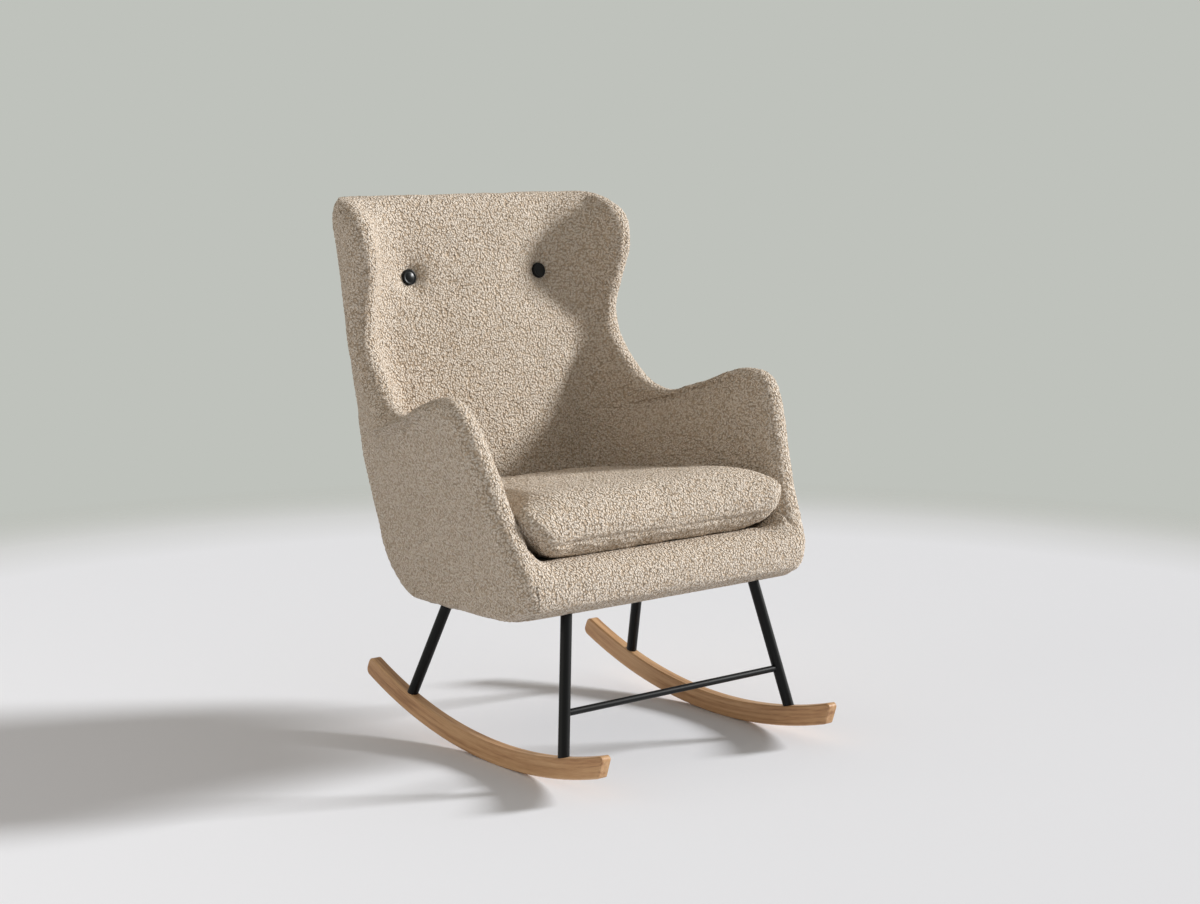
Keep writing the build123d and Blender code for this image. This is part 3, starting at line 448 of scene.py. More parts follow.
def ripple(points, size, seed):
    """Gentle uneven waves between -1 and 1: a product of sines turned out of line with the axes."""
    turn = np.random.default_rng(seed).normal(size=(3, 3))
    turned = points @ np.linalg.qr(turn)[0] * (2 * math.pi / size)
    return np.sin(turned[..., 0] + np.sin(turned[..., 1])) * np.cos(turned[..., 2] + seed)


def nubs(points):
    """Small uneven bumps of the looped yarn: two sets of waves a finger's width long, out of step."""
    return NUB_HEIGHT * sum(ripple(points, size, seed) for size, seed in NUB_WAVES)


print("nubs up to", np.abs(nubs(wall)).max().round(5))

# %% [markdown]
# The inside back swells a little between its edges, and it dips where the two buttons are tied through it.
# A fine groove beside the outside back panel is a sewn seam. Each form is a formula of how far a point is
# from the middle, how far up the leaning back and how far in front of it.

# %% Crown, tufts and back seam
BUTTON_HALF_SPACING = 0.152
BUTTON_RISE = 0.440
TUFT_DEPTH = 0.0215
TUFT_REACH = 0.024
TUFT_POWER = 1.6
PULL_DEPTH = 0.004
PULL_REACH = 0.075
BACK_CROWN = 0.007
CROWN_HALF_WIDTH = 0.21
CROWN_STARTS = (0.02, 0.22)
CROWN_ENDS = (0.3, 0.52)
BACK_FACE_STARTS = (0.045, 0.065)
BACK_FACE_ENDS = (0.11, 0.16)
BACK_SEAM_HALF = 0.228
SEAM_DEPTH = 0.002
SEAM_HALF_WIDTH = 0.0022
SEAM_ZONE = 0.03
CLOTH_WAVE = 0.0008
WALL_WAVE = (0.12, 3)

back_up = np.array([0.0, math.sin(BACK_RECLINE), math.cos(BACK_RECLINE)])
back_ahead = np.array([0.0, -math.cos(BACK_RECLINE), math.sin(BACK_RECLINE)])
back_foot = np.array([0.0, *BACK_FOOT])


def wall_relief(points, is_inside):
    """Height of the padding's surface above its plain form.

    The crown is a hill over the inside back. A tuft is a steep pit with a wide shallow one round it. The
    seam is a narrow groove on the outside.
    """
    aside = np.abs(points[..., 0])
    rise = (points - back_foot) @ back_up
    ahead = (points - back_foot) @ back_ahead
    on_back = ease(ahead, *BACK_FACE_STARTS) * (1 - ease(ahead, *BACK_FACE_ENDS)) * is_inside
    hill = np.cos(np.clip(aside / CROWN_HALF_WIDTH, 0, 1) * math.pi / 2) ** 2 * ease(rise, *CROWN_STARTS)
    hill = hill * (1 - ease(rise, *CROWN_ENDS))
    away = np.hypot(aside - BUTTON_HALF_SPACING, rise - BUTTON_RISE)
    pit = TUFT_DEPTH * np.exp(-((away / TUFT_REACH) ** TUFT_POWER))
    pit = pit + PULL_DEPTH * np.exp(-((away / PULL_REACH) ** 2))
    relief = on_back * (BACK_CROWN * hill - pit)
    seam = SEAM_DEPTH * np.exp(-(((aside - BACK_SEAM_HALF) / SEAM_HALF_WIDTH) ** 2))
    relief -= seam * (ahead < SEAM_ZONE) * (rise > 0.0) * ~is_inside
    return relief + CLOTH_WAVE * ripple(points, *WALL_WAVE)


column = np.arange(ring_count)
inside_column = (column >= half_count) & (column <= 3 * half_count - 4)
relief = wall_relief(wall, np.broadcast_to(inside_column, wall.shape[:2]))
print("relief from", relief.min().round(4), "to", relief.max().round(4))

# %% [markdown]
# One more seam runs up the outside of the wing's round edge. It follows a column of the grid, so its distance
# is counted in columns. Then all the relief is put on, and the shell becomes a piece. It stands for four
# solids, because one cover runs over all of them.

# %% Shell
NOSE_SEAM_DEPTH = 0.001
NOSE_SEAM_COLUMNS = 1.1
NOSE_SEAM_STARTS = (0.66, 0.72)
NOSE_SEAM_ENDS = (0.93, 0.95)

nose_start = half_count - 1 - POINTS_NOSE
from_seam = np.minimum(np.abs(column - nose_start), np.abs(column - (ring_count - nose_start)))
nose_seam = NOSE_SEAM_DEPTH * np.exp(-((from_seam / NOSE_SEAM_COLUMNS) ** 2))
upper = ease(tip[:, 1], *NOSE_SEAM_STARTS) * (1 - ease(tip[:, 1], *NOSE_SEAM_ENDS))
relief -= nose_seam[None, :] * upper[:, None]
relief += nubs(wall)
wall = wall + ring_normals(wall) * relief[..., None]

shell = make_piece("shell_cover", wall, wall_faces, "chair")
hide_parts("left_side_pad", "right_side_pad", "inside_back_pad", "outside_back_panel")
print("shell", len(shell.data.polygons), "faces, box", wall.min((0, 1)).round(3), wall.max((0, 1)).round(3))

# %% [markdown]
# ## The front rail's cover
# Below the cushion a padded roll hides the front rail. Its outline, seen from the side, is a belly that
# tucks under the frame and a rounded top. The belly follows the arms' padded edge, so that the cloth seems
# to run on from one to the other. Where the roll meets an arm its top turns up in a round fillet.

# %% Outline of the roll
FILLET = 0.048
FILLET_END = 0.289
FILLET_SHARE = 0.95
APRON_HEIGHTS = np.array([0.284, 0.292, 0.303, 0.315, 0.327, 0.338, 0.347])
APRON_ROLL = [(-0.149, 0.362), (-0.133, 0.371), (-0.114, 0.374)]
APRON_REAR = [(-0.099, 0.372), (-0.093, 0.361), (-0.091, 0.330)]
APRON_UNDER = [(-0.091, 0.2770), (-0.112, 0.2785)]
APRON_STEPS = 120


def closed_curve(corners, count):
    """Smooth closed curve through a ring of points, by the same spline run past both ends."""
    ring = np.array(corners * 3)
    travel = path_lengths(ring)
    first, last = travel[len(corners)], travel[2 * len(corners)]
    return curve_columns(travel, ring, np.linspace(first, last, count, endpoint=False))


def edge_depth(height):
    """Depth of the arms' padded edge at a height below the arms' dip, where the edge only climbs."""
    return np.interp(height, tip[:, 1], tip[:, 0])


def corner_rise(aside):
    """Height of a round fillet where a level edge turns up an arm: the radius less the circle's drop."""
    share = np.clip((np.abs(aside) - FILLET_END) / FILLET + 1, 0.0, FILLET_SHARE)
    return FILLET * (1 - np.sqrt(1 - share**2))


belly = np.stack([edge_depth(APRON_HEIGHTS), APRON_HEIGHTS], axis=1)
roll_corners = APRON_UNDER + [tuple(point) for point in belly] + APRON_ROLL + APRON_REAR
profile = closed_curve(roll_corners, APRON_STEPS)
print("roll outline", profile.min(0).round(3), profile.max(0).round(3))

# %% [markdown]
# The outline is carried across the chair from one arm to the other. Its ends lean with the arms and sit a
# hair behind their noses. The fillet lifts the top, and the lifted points lean back with the arms' edge so
# that they stay flush. A swell and the cloth's nubs fade out towards the ends.

# %% Front rail cover
APRON_COLUMNS = 160
APRON_SHY = 0.0002
APRON_CROWN = 0.004
FILLET_STARTS = (0.334, 0.371)
SWELL_STARTS = (0.10, 0.15)
SWELL_POWER = 4
NUB_POWER = 8

across = np.linspace(-1.0, 1.0, APRON_COLUMNS)[:, None]
apron = np.empty((APRON_COLUMNS, APRON_STEPS, 3))
apron[..., 0] = across * arm_line(profile[:, 1])
apron[..., 1] = profile[:, 0] + APRON_SHY
apron[..., 2] = profile[:, 1]
lifted = apron[..., 2] + corner_rise(apron[..., 0]) * ease(profile[:, 1], *FILLET_STARTS)
apron[..., 1] += edge_depth(lifted) - edge_depth(apron[..., 2])
apron[..., 2] = lifted
swell = APRON_CROWN * (1 - across**SWELL_POWER) * ease(-profile[:, 0], *SWELL_STARTS)
apron[..., 1] -= swell + nubs(apron) * (1 - across**NUB_POWER)

apron_faces = tube_faces(APRON_COLUMNS, APRON_STEPS)
front_cover = make_piece("front_rail_cover", apron, apron_faces, "chair")
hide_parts("front_rail_pad")
print("front rail cover", len(apron_faces), "faces")

# %% [markdown]
# ## The seat cushion
# The loose cushion is a foam block in a sewn cover. Its corners are round, its sides close towards the back,
# and its edges fall in a soft waterfall. A subdivided box would be quick, but its corners can't be set. So
# the cushion is a stack of rings, and each ring is an outline with rounded corners. Places on the seat are
# measured across, along and above the seat frame, which is tilted.

# %% Outline of a seat
SEAT_PITCH = math.radians(5.3)
SEAT_ORIGIN = np.array([0.0, -0.135, 0.294])
OUTLINE_POINTS = 24
seat_back = np.array([0.0, math.cos(SEAT_PITCH), -math.sin(SEAT_PITCH)])
seat_up = np.array([0.0, math.sin(SEAT_PITCH), math.cos(SEAT_PITCH)])


def on_seat(aside, along, rise):
    """Places in space from distances across, behind the front of and above the tilted seat frame."""
    flat = np.stack(np.broadcast_arrays(aside, along, rise), axis=-1)
    on_frame = SEAT_ORIGIN + flat[..., :1] * [1.0, 0.0, 0.0] + flat[..., 1:2] * seat_back
    return on_frame + flat[..., 2:] * seat_up


def seat_rise(points):
    """Height above the tilted seat frame."""
    return (points - SEAT_ORIGIN) @ seat_up


def plan_outline(front_half, rear_half, front, length, inset, corner):
    """Outline of a seat that is narrower at the back, one ring for each inset and corner radius.

    Each ring is the plain outline pulled in by its inset. From the middle of the front it follows a line,
    the front corner's arc, the side, the rear corner's arc and the rear line. The other half is mirrored.
    """
    slope = (front_half - rear_half) / length
    side_angle = math.atan(slope)
    inset, corner = inset[:, None], corner[:, None]
    near, far = front + inset, front + length - inset
    spread = inset / math.cos(side_angle)
    front_cut = corner * math.tan((math.pi / 2 - side_angle) / 2)
    rear_cut = corner * math.tan((math.pi / 2 + side_angle) / 2)
    front_x = front_half - spread - slope * (near - front) - front_cut
    rear_x = front_half - spread - slope * (far - front) - rear_cut

    share = np.linspace(0.0, 1.0, OUTLINE_POINTS)[None, :]
    front_turn = share * (math.pi / 2 - side_angle)
    rear_turn = (math.pi / 2 - side_angle) + share * (math.pi / 2 + side_angle)
    front_line = (share * front_x, near + 0 * share)
    front_round = (front_x + corner * np.sin(front_turn), near + corner - corner * np.cos(front_turn))
    rear_round = (rear_x + corner * np.sin(rear_turn), far - corner - corner * np.cos(rear_turn))
    side_line = [a[:, -1:] + share * (b[:, :1] - a[:, -1:]) for a, b in zip(front_round, rear_round)]
    rear_line = ((1 - share) * rear_x, far + 0 * share)
    parts = [front_line, front_round, side_line, rear_round, rear_line]
    aside = np.concatenate([part[0][:, :-1] for part in parts] + [np.zeros_like(near)], axis=1)
    along = np.concatenate([part[1][:, :-1] for part in parts] + [far], axis=1)
    aside = np.concatenate([aside, -aside[:, -2:0:-1]], axis=1)
    along = np.concatenate([along, along[:, -2:0:-1]], axis=1)
    return aside[:, ::-1], along[:, ::-1]


print("seat frame leans", round(math.degrees(SEAT_PITCH), 1), "degrees back")

# %% [markdown]
# The cushion starts a little lean, because it will swell. A short table says, from the underside to the
# middle of the top, how high a ring is, how far it is drawn in and how round its corners are. Low on the
# front the corners turn up by the same fillet as the roll below them.

# %% Lean cushion
CUSHION_FRONT_HALF = 0.300
CUSHION_REAR_HALF = 0.219
CUSHION_FRONT = -0.029
CUSHION_LENGTH = 0.459
CUSHION_CORNER = 0.044
CUSHION_HEIGHT = 0.104
CUSHION_FLOOR = 0.0823
CUSHION_LEAN = 0.005
CUSHION_RINGS = 60
TURN_UP_ENDS = (0.03, 0.13)
CUSHION_LEVELS = np.array(
    [
        (0.000, 0.070, 0.9),
        (0.000, 0.032, 0.9),
        (0.035, 0.014, 1.0),
        (0.170, 0.002, 1.0),
        (0.430, -0.003, 1.0),
        (0.710, 0.009, 1.0),
        (0.870, 0.034, 1.1),
        (0.940, 0.064, 1.2),
        (0.980, 0.106, 1.1),
        (1.000, 0.158, 0.9),
    ]
)


def finer_rows(table, count):
    """The rows of a table joined by smooth curves and cut into as many rows as asked."""
    steps = np.arange(len(table), dtype=float)
    return curve_columns(steps, table, np.linspace(0.0, steps[-1], count))


share_up, drawn_in, corner_share = finer_rows(CUSHION_LEVELS, CUSHION_RINGS).T
cushion_rise = CUSHION_FLOOR + CUSHION_LEAN + (CUSHION_HEIGHT - 2 * CUSHION_LEAN) * share_up
aside, along = plan_outline(
    CUSHION_FRONT_HALF,
    CUSHION_REAR_HALF,
    CUSHION_FRONT,
    CUSHION_LENGTH,
    drawn_in + CUSHION_LEAN,
    CUSHION_CORNER * corner_share,
)
low = 1 - (cushion_rise[:, None] - CUSHION_FLOOR) / CUSHION_HEIGHT
turned_up = corner_rise(aside) * low * (1 - ease(along, *TURN_UP_ENDS))
cushion = on_seat(aside, along, cushion_rise[:, None] + turned_up)
print("cushion rings", cushion.shape)

# %% [markdown]
# Now the cover is filled. The lean cushion gets an even net of small squares, and air pressure pushes them
# outwards for a few frames with gravity off. A cap on how far a point may travel keeps the foam's shape.
# The pressure leaves small pinches along the edges, so the net is smoothed, and one subdivision makes it
# finer.

# %% Inflate
VOXEL = 0.005
PRESSURE = 4.0
LAST_FRAME = 20
TRAVEL_CAP = 0.012
LEAST_TRAVEL = 1e-9
EVEN_STEPS = 24
EVEN_FACTOR = 0.5


def mesh_points(mesh):
    """All points of a mesh as one array."""
    points = np.empty(len(mesh.vertices) * 3)
    mesh.vertices.foreach_get("co", points)
    return points.reshape(-1, 3)


def finished_mesh(thing):
    """A new mesh with the object's modifiers worked in."""
    return bpy.data.meshes.new_from_object(thing.evaluated_get(bpy.context.evaluated_depsgraph_get()))


def blown_up(net):
    """Where the points of a net are after the cloth simulation, no further than the cap from their start."""
    before = mesh_points(net.data)
    cloth = net.modifiers.new("cloth", "CLOTH")
    cloth.settings.use_pressure = True
    cloth.settings.uniform_pressure_force = PRESSURE
    cloth.settings.effector_weights.gravity = 0.0
    cloth.point_cache.frame_end = LAST_FRAME
    for number in range(1, LAST_FRAME + 1):
        bpy.context.scene.frame_set(number)
    moved = mesh_points(finished_mesh(net)) - before
    net.modifiers.remove(cloth)
    bpy.context.scene.frame_set(1)
    distance = np.maximum(np.linalg.norm(moved, axis=1, keepdims=True), LEAST_TRAVEL)
    return before + moved * np.minimum(1.0, TRAVEL_CAP / distance)


def inflated(points, faces):
    """The form as an even net, blown up by a cloth simulation, smoothed and made finer once."""
    lean_mesh = bpy.data.meshes.new("lean")
    lean_mesh.from_pydata(points.reshape(-1, 3).tolist(), [], faces)
    lean = new_object("lean", lean_mesh)
    remesh = lean.modifiers.new("net", "REMESH")
    remesh.mode = "VOXEL"
    remesh.voxel_size = VOXEL
    net = new_object("net", finished_mesh(lean))
    bpy.data.objects.remove(lean)
    net.data.vertices.foreach_set("co", blown_up(net).ravel())
    net.data.update()
    even = net.modifiers.new("even", "SMOOTH")
    even.factor = EVEN_FACTOR
    even.iterations = EVEN_STEPS
    finer = net.modifiers.new("finer", "SUBSURF")
    finer.levels = finer.render_levels = 1
    mesh = finished_mesh(net)
    bpy.data.objects.remove(net)
    return mesh


cushion_mesh = inflated(cushion, tube_faces(*cushion.shape[:2]))
print("cushion net", len(cushion_mesh.polygons), "faces")

# %% [markdown]
# The net erases anything narrower than its squares, so the sewn seam near the bottom edge comes last. It is
# pressed in as a groove at one height, and the cloth gets the same waves and nubs as the shell.

# %% Cushion
SEAM_RISE = 0.027
SEAM_GROOVE = 0.0022
SEAM_GROOVE_HALF = 0.0040
CUSHION_WAVE = (0.11, 5)

points = mesh_points(cushion_mesh)
normals = np.empty(points.size)
cushion_mesh.vertices.foreach_get("normal", normals)
normals = normals.reshape(-1, 3)
sunk = CUSHION_FLOOR - seat_rise(points).min()
points = points + seat_up * max(sunk, 0.0)
above_seam = seat_rise(points) - CUSHION_FLOOR - SEAM_RISE
groove = SEAM_GROOVE * np.exp(-((above_seam / SEAM_GROOVE_HALF) ** 2))
points -= normals * groove[:, None]
points += normals * (CLOTH_WAVE * ripple(points, *CUSHION_WAVE) + nubs(points))[:, None]
net_faces = [list(face.vertices) for face in cushion_mesh.polygons]
seat_cushion = make_piece("seat_cushion", points, net_faces, "seat_cushion")
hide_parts("seat_cushion_cover", "seat_cushion_core")
print("cushion box", points.min(0).round(3), points.max(0).round(3))

# %% [markdown]
# ## Under the cushion
# A thin pad in plain cotton covers the straps that the cushion rests on. It shows only when the cushion is
# lifted out. It is the same kind of stack as the cushion, but low, so it needs no simulation. The table
# gives each ring's height, how far it is drawn in and its corner radius.

# %% Deck pad
DECK_FRONT_HALF = 0.2835
DECK_REAR_HALF = 0.2115
DECK_FRONT = 0.0427
DECK_LENGTH = 0.425
DECK_LEVELS = np.array(
    [
        (0.0706, 0.020, 0.012),
        (0.0706, 0.003, 0.012),
        (0.0735, 0.000, 0.014),
        (0.0780, 0.001, 0.014),
        (0.0802, 0.006, 0.014),
        (0.0812, 0.030, 0.014),
        (0.0818, 0.090, 0.014),
        (0.0820, 0.170, 0.014),
    ]
)
deck_rise, deck_inset, deck_corner = DECK_LEVELS.T
aside, along = plan_outline(
    DECK_FRONT_HALF, DECK_REAR_HALF, DECK_FRONT, DECK_LENGTH, deck_inset, deck_corner
)
deck = on_seat(aside, along, deck_rise[:, None])
deck_faces = tube_faces(*deck.shape[:2])
deck_pad = make_piece("seat_deck_cover", deck, deck_faces, "chair")
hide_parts("seat_deck_pad")
print("deck pad", len(deck_faces), "faces")

# %% [markdown]
# A sheet of black felt-like cloth is stapled under the frame to keep dust out. It is stretched, so it is
# nearly flat and sags a little in the middle. A grid of points makes the sheet, and Solidify gives it its
# thickness.

# %% Dust cover
DUST_FRONT_HALF = 0.3025
DUST_REAR_HALF = 0.2342
DUST_FRONT = 0.0427
DUST_LENGTH = 0.4038
DUST_GAP = 0.0002
DUST_SAG = 0.004
DUST_THICKNESS = 0.0008
DUST_ROWS = 40
DUST_COLUMNS = 56
row = np.linspace(0.0, 1.0, DUST_ROWS)[:, None]
column_share = np.linspace(-1.0, 1.0, DUST_COLUMNS)[None, :]
dust_half = DUST_FRONT_HALF + (DUST_REAR_HALF - DUST_FRONT_HALF) * row
sag = DUST_SAG * np.sin(math.pi * row) * np.cos(column_share * math.pi / 2)
dust = on_seat(dust_half * column_share, DUST_FRONT + DUST_LENGTH * row, -DUST_GAP - sag)
dust_faces = grid_faces(DUST_ROWS, DUST_COLUMNS, closed=False)
dust_sheet = make_piece("dust_cover_cloth", dust, dust_faces, "chair")
solid = dust_sheet.modifiers.new("thickness", "SOLIDIFY")
solid.thickness = DUST_THICKNESS
solid.offset = 1.0
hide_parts("dust_cover")
print("dust cover", dust.shape)

# %% [markdown]
# ## Buttons
# Two black buttons are pulled into the back. A cylinder would look cheap, because a real button has a rim, a
# dip behind it and a domed middle. So a button is turned: its outline, from the middle of its underside to
# the middle of its face, goes round an axis that points out of the back.

# %% Turn the buttons
BUTTON_SEAT = 0.051
BUTTON_SPOKES = 64
BUTTON_RINGS = 60
BUTTON_OUTLINE = np.array(
    [
        (0.0000, 0.0000),
        (0.0120, 0.0000),
        (0.0143, 0.0007),
        (0.0150, 0.0026),
        (0.0150, 0.0058),
        (0.0144, 0.0078),
        (0.0132, 0.0088),
        (0.0119, 0.0087),
        (0.0108, 0.0079),
        (0.0094, 0.0078),
        (0.0060, 0.0088),
        (0.0024, 0.0095),
        (0.0000, 0.0096),
    ]
)


def turned_button(side):
    """The outline carried round the button's axis: out along a turning spoke, up along the axis."""
    radius, height = finer_rows(BUTTON_OUTLINE, BUTTON_RINGS).T[:, 1:-1, None, None]
    angle = -np.linspace(0.0, 2 * math.pi, BUTTON_SPOKES, endpoint=False)
    rim = np.cos(angle)[:, None] * [1.0, 0.0, 0.0] + np.sin(angle)[:, None] * back_up
    seat = back_foot + BUTTON_RISE * back_up + BUTTON_SEAT * back_ahead
    seat = seat + [side * BUTTON_HALF_SPACING, 0.0, 0.0]
    return seat + np.maximum(radius, 0.0) * rim + height * back_ahead


for word, side in (("left", -1.0), ("right", 1.0)):
    rings = turned_button(side)
    button_faces = tube_faces(len(rings), BUTTON_SPOKES)
    button = make_piece(word + "_button", rings, button_faces, "chair")
    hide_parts(word + "_back_button")
print("buttons", len(button_faces), "faces each")

# %% [markdown]
# ## Finishes
# Each finish is a small tree of nodes. Trees could be drawn in the editor, but then nobody could read them
# here. One helper adds a node and fills its sockets, by value or by a link, so that a finish reads as a short
# list. All patterns are placed by Object coordinates, in metres.


# %% Node helpers
def fill_socket(tree, socket, value):
    """Link an output to a socket, or set the socket to a plain value."""
    if isinstance(value, bpy.types.NodeSocket):
        tree.links.new(value, socket)
    else:
        socket.default_value = value


def add_node(tree, kind, settings=None, **sockets):
    """A new node. Settings are its own options, and sockets are values or links for its inputs."""
    made = tree.nodes.new(kind)
    for name, value in (settings or {}).items():
        setattr(made, name, value)
    for name, value in sockets.items():
        fill_socket(tree, made.inputs[name.replace("_", " ")], value)
    return made


def work_out(tree, kind, operation, *values):
    """A sum on numbers (Math) or on places (VectorMath), with its inputs in order."""
    made = add_node(tree, "ShaderNode" + kind, {"operation": operation})
    for socket, value in zip(made.inputs, values):
        fill_socket(tree, socket, value)
    return made.outputs[0]


def noise(tree, place, scale, detail, **sockets):
    """A cloudy pattern between 0 and 1."""
    made = add_node(tree, "ShaderNodeTexNoise", Vector=place, Scale=scale, Detail=detail, **sockets)
    return made.outputs["Fac"]


def ranged(tree, value, before, after):
    """A number moved from one range (low, high) to another."""
    limits = {"From_Min": before[0], "From_Max": before[1], "To_Min": after[0], "To_Max": after[1]}
    return add_node(tree, "ShaderNodeMapRange", Value=value, **limits).outputs["Result"]


def ramp(tree, factor, *stops):
    """A colour ramp through stops of (position, colour)."""
    made = add_node(tree, "ShaderNodeValToRGB", Fac=factor)
    elements = made.color_ramp.elements
    while len(elements) < len(stops):
        elements.new(0.5)
    for element, (position, colour) in zip(elements, stops):
        element.position = position
        element.color = colour
    return made.outputs["Color"]


print("nodes that need a finish", len(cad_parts))

# %% [markdown]
# Colours are written as a screen shows them, 0 to 255, and turned into the linear numbers that shaders work
# with. A finish starts from Blender's all-round shader, which covers cloth, wood, paint and metal.


# %% Finish helpers
def linear(red, green, blue):
    """A screen colour as a linear one: straight near black, a power of 2.4 above."""
    part = np.array([red, green, blue]) / 255
    return (*np.where(part <= 0.04045, part / 12.92, ((part + 0.055) / 1.055) ** 2.4).tolist(), 1.0)


def new_finish(name):
    """A material with its node tree, its shader and a socket of Object coordinates."""
    finish = bpy.data.materials.new(name)
    finish.use_nodes = True
    tree = finish.node_tree
    place = add_node(tree, "ShaderNodeTexCoord").outputs["Object"]
    return finish, tree, tree.nodes["Principled BSDF"], place


def raised(tree, shader, height, distance):
    """Let a pattern raise the surface by up to a distance in metres."""
    bump = add_node(tree, "ShaderNodeBump", Height=height, Distance=distance, Strength=1.0)
    tree.links.new(bump.outputs["Normal"], shader.inputs["Normal"])


def put_on(finish, *names):
    """Give pieces or CAD nodes a finish, in place of what they had."""
    for name in names:
        thing = bpy.data.objects[name]
        thing.data.materials.clear()
        thing.data.materials.append(finish)


print("middle grey is", round(linear(128, 128, 128)[0], 3))

# %% [markdown]
# ### Nubby cloth
# The cover is a looped yarn. Small loops stand up like grains, and they show by their light and shade more
# than by their colour, so the colours lie close together. Cells of a Voronoi pattern give the loops. The
# distance from a cell's middle, squared, makes a round hill, a finer pattern makes it rough, and two noises
# push the cells out of line and raise some patches. The same hills raise the surface and choose the colour.
# The cream on the crests is the yarn's own colour, and the darker tan low down in the gaps between the loops
# is painted shade.

# %% Looped cloth
LOOP_DENSITY = 250.0
FINE_DENSITY = 560.0
PUSH_DENSITY = 95.0
PATCH_DENSITY = 120.0
PUSH = (0.004, 0.004, 0.004)
LOOP_DROP = 1.5
FINE_DROP = 0.45
PATCH_RISE = 0.5
TONE_SHARE = 0.6
LOOP_HEIGHT = 0.0046
CREAM = linear(250, 241, 229)
SAND = linear(238, 223, 205)
# Painted shade: the darker tan that the low gaps between the loops get, in place of their shadow
GAP_SHADE = linear(214, 192, 166)

looped, tree, shader, place = new_finish("looped_cloth")
push = add_node(tree, "ShaderNodeTexNoise", Vector=place, Scale=PUSH_DENSITY, Detail=2.0).outputs["Color"]
pushed = work_out(tree, "VectorMath", "MULTIPLY_ADD", push, PUSH, place)
big = add_node(tree, "ShaderNodeTexVoronoi", Vector=pushed, Scale=LOOP_DENSITY).outputs["Distance"]
small = add_node(tree, "ShaderNodeTexVoronoi", Vector=pushed, Scale=FINE_DENSITY).outputs["Distance"]
patch = noise(tree, place, PATCH_DENSITY, 3.0)
squared = work_out(tree, "Math", "MULTIPLY", big, big)
crest = work_out(tree, "Math", "MULTIPLY_ADD", squared, -LOOP_DROP, 1.0)
crest = work_out(tree, "Math", "MULTIPLY_ADD", small, -FINE_DROP, crest)
crest = work_out(tree, "Math", "MULTIPLY_ADD", patch, PATCH_RISE, crest)
tone = work_out(tree, "Math", "MULTIPLY", crest, TONE_SHARE)
colour = ramp(tree, tone, (0.20, GAP_SHADE), (0.45, SAND), (0.70, CREAM))
tree.links.new(colour, shader.inputs["Base Color"])
shader.inputs["Roughness"].default_value = 0.95
shader.inputs["Specular IOR Level"].default_value = 0.15
shader.inputs["Sheen Weight"].default_value = 0.12
shader.inputs["Sheen Roughness"].default_value = 0.6
raised(tree, shader, crest, LOOP_HEIGHT)
put_on(looped, "shell_cover", "front_rail_cover", "seat_cushion")
print("looped cloth on 3 pieces")

# %% [markdown]
# ### Oak
# The rockers are bent strips of oak, so the grain follows the bend. Straight grain would run out at the ends
# and look sawn. A point's distance from the bend's centre and its angle about it unroll the arc. Noise
# stretched along the arc gives the grain, and finer, shorter streaks give the pores.

# %% Bent oak
ROCKER_RADIUS = 0.985
GRAIN_DENSITY = (130.0, 5.0, 130.0)
PORE_DENSITY = (900.0, 45.0, 900.0)
PORE_SHARE = 0.35
GRAIN_HEIGHT = 0.0003
OAK_PALE = linear(208, 168, 124)
OAK_MID = linear(188, 144, 101)
OAK_DARK = linear(152, 108, 70)

oak, tree, shader, place = new_finish("bent_oak")
parts = add_node(tree, "ShaderNodeSeparateXYZ", Vector=place).outputs
drop = work_out(tree, "Math", "SUBTRACT", ROCKER_RADIUS, parts["Z"])
angle = work_out(tree, "Math", "ARCTAN2", parts["Y"], drop)
arc = work_out(tree, "Math", "MULTIPLY", angle, ROCKER_RADIUS)
squares = work_out(tree, "Math", "MULTIPLY", drop, drop)
squares = work_out(tree, "Math", "MULTIPLY_ADD", parts["Y"], parts["Y"], squares)
radius = work_out(tree, "Math", "SQRT", squares)
unrolled = add_node(tree, "ShaderNodeCombineXYZ", X=parts["X"], Y=arc, Z=radius).outputs["Vector"]
grain_place = work_out(tree, "VectorMath", "MULTIPLY", unrolled, GRAIN_DENSITY)
grain = noise(tree, grain_place, 1.0, 4.0, Distortion=0.4)
pore_place = work_out(tree, "VectorMath", "MULTIPLY", unrolled, PORE_DENSITY)
pores = noise(tree, pore_place, 1.0, 2.0)
streak = work_out(tree, "Math", "MULTIPLY_ADD", pores, PORE_SHARE, grain)
colour = ramp(tree, streak, (0.44, OAK_DARK), (0.62, OAK_MID), (0.85, OAK_PALE))
tree.links.new(colour, shader.inputs["Base Color"])
tree.links.new(ranged(tree, streak, (0.4, 0.9), (0.52, 0.40)), shader.inputs["Roughness"])
raised(tree, shader, streak, GRAIN_HEIGHT)
put_on(oak, "left_rocker", "right_rocker")
print("oak on 2 rockers")

# %% [markdown]
# ### Steel, and what is hidden
# The legs are powder-coated: nearly black, with the faint orange-peel of a coat of powder. The bolts and
# screws are zinc-plated. The frame inside is plain hardwood and plywood, the straps are woven elastic, and
# the deck and the dust cover are plain cloths. Two kinds of finish are enough for all of these: one whose
# tone wanders, and one with threads that cross.

# %% Two kinds of finish
NOISE_RANGE = (0.3, 0.7)
ROUGHNESS_SPREAD = 0.06
EVEN_STRETCH = (1.0, 1.0, 1.0)
DYE_DENSITY = 60.0
DYE_SHARE = 0.6
THREAD_WANDER = 0.6


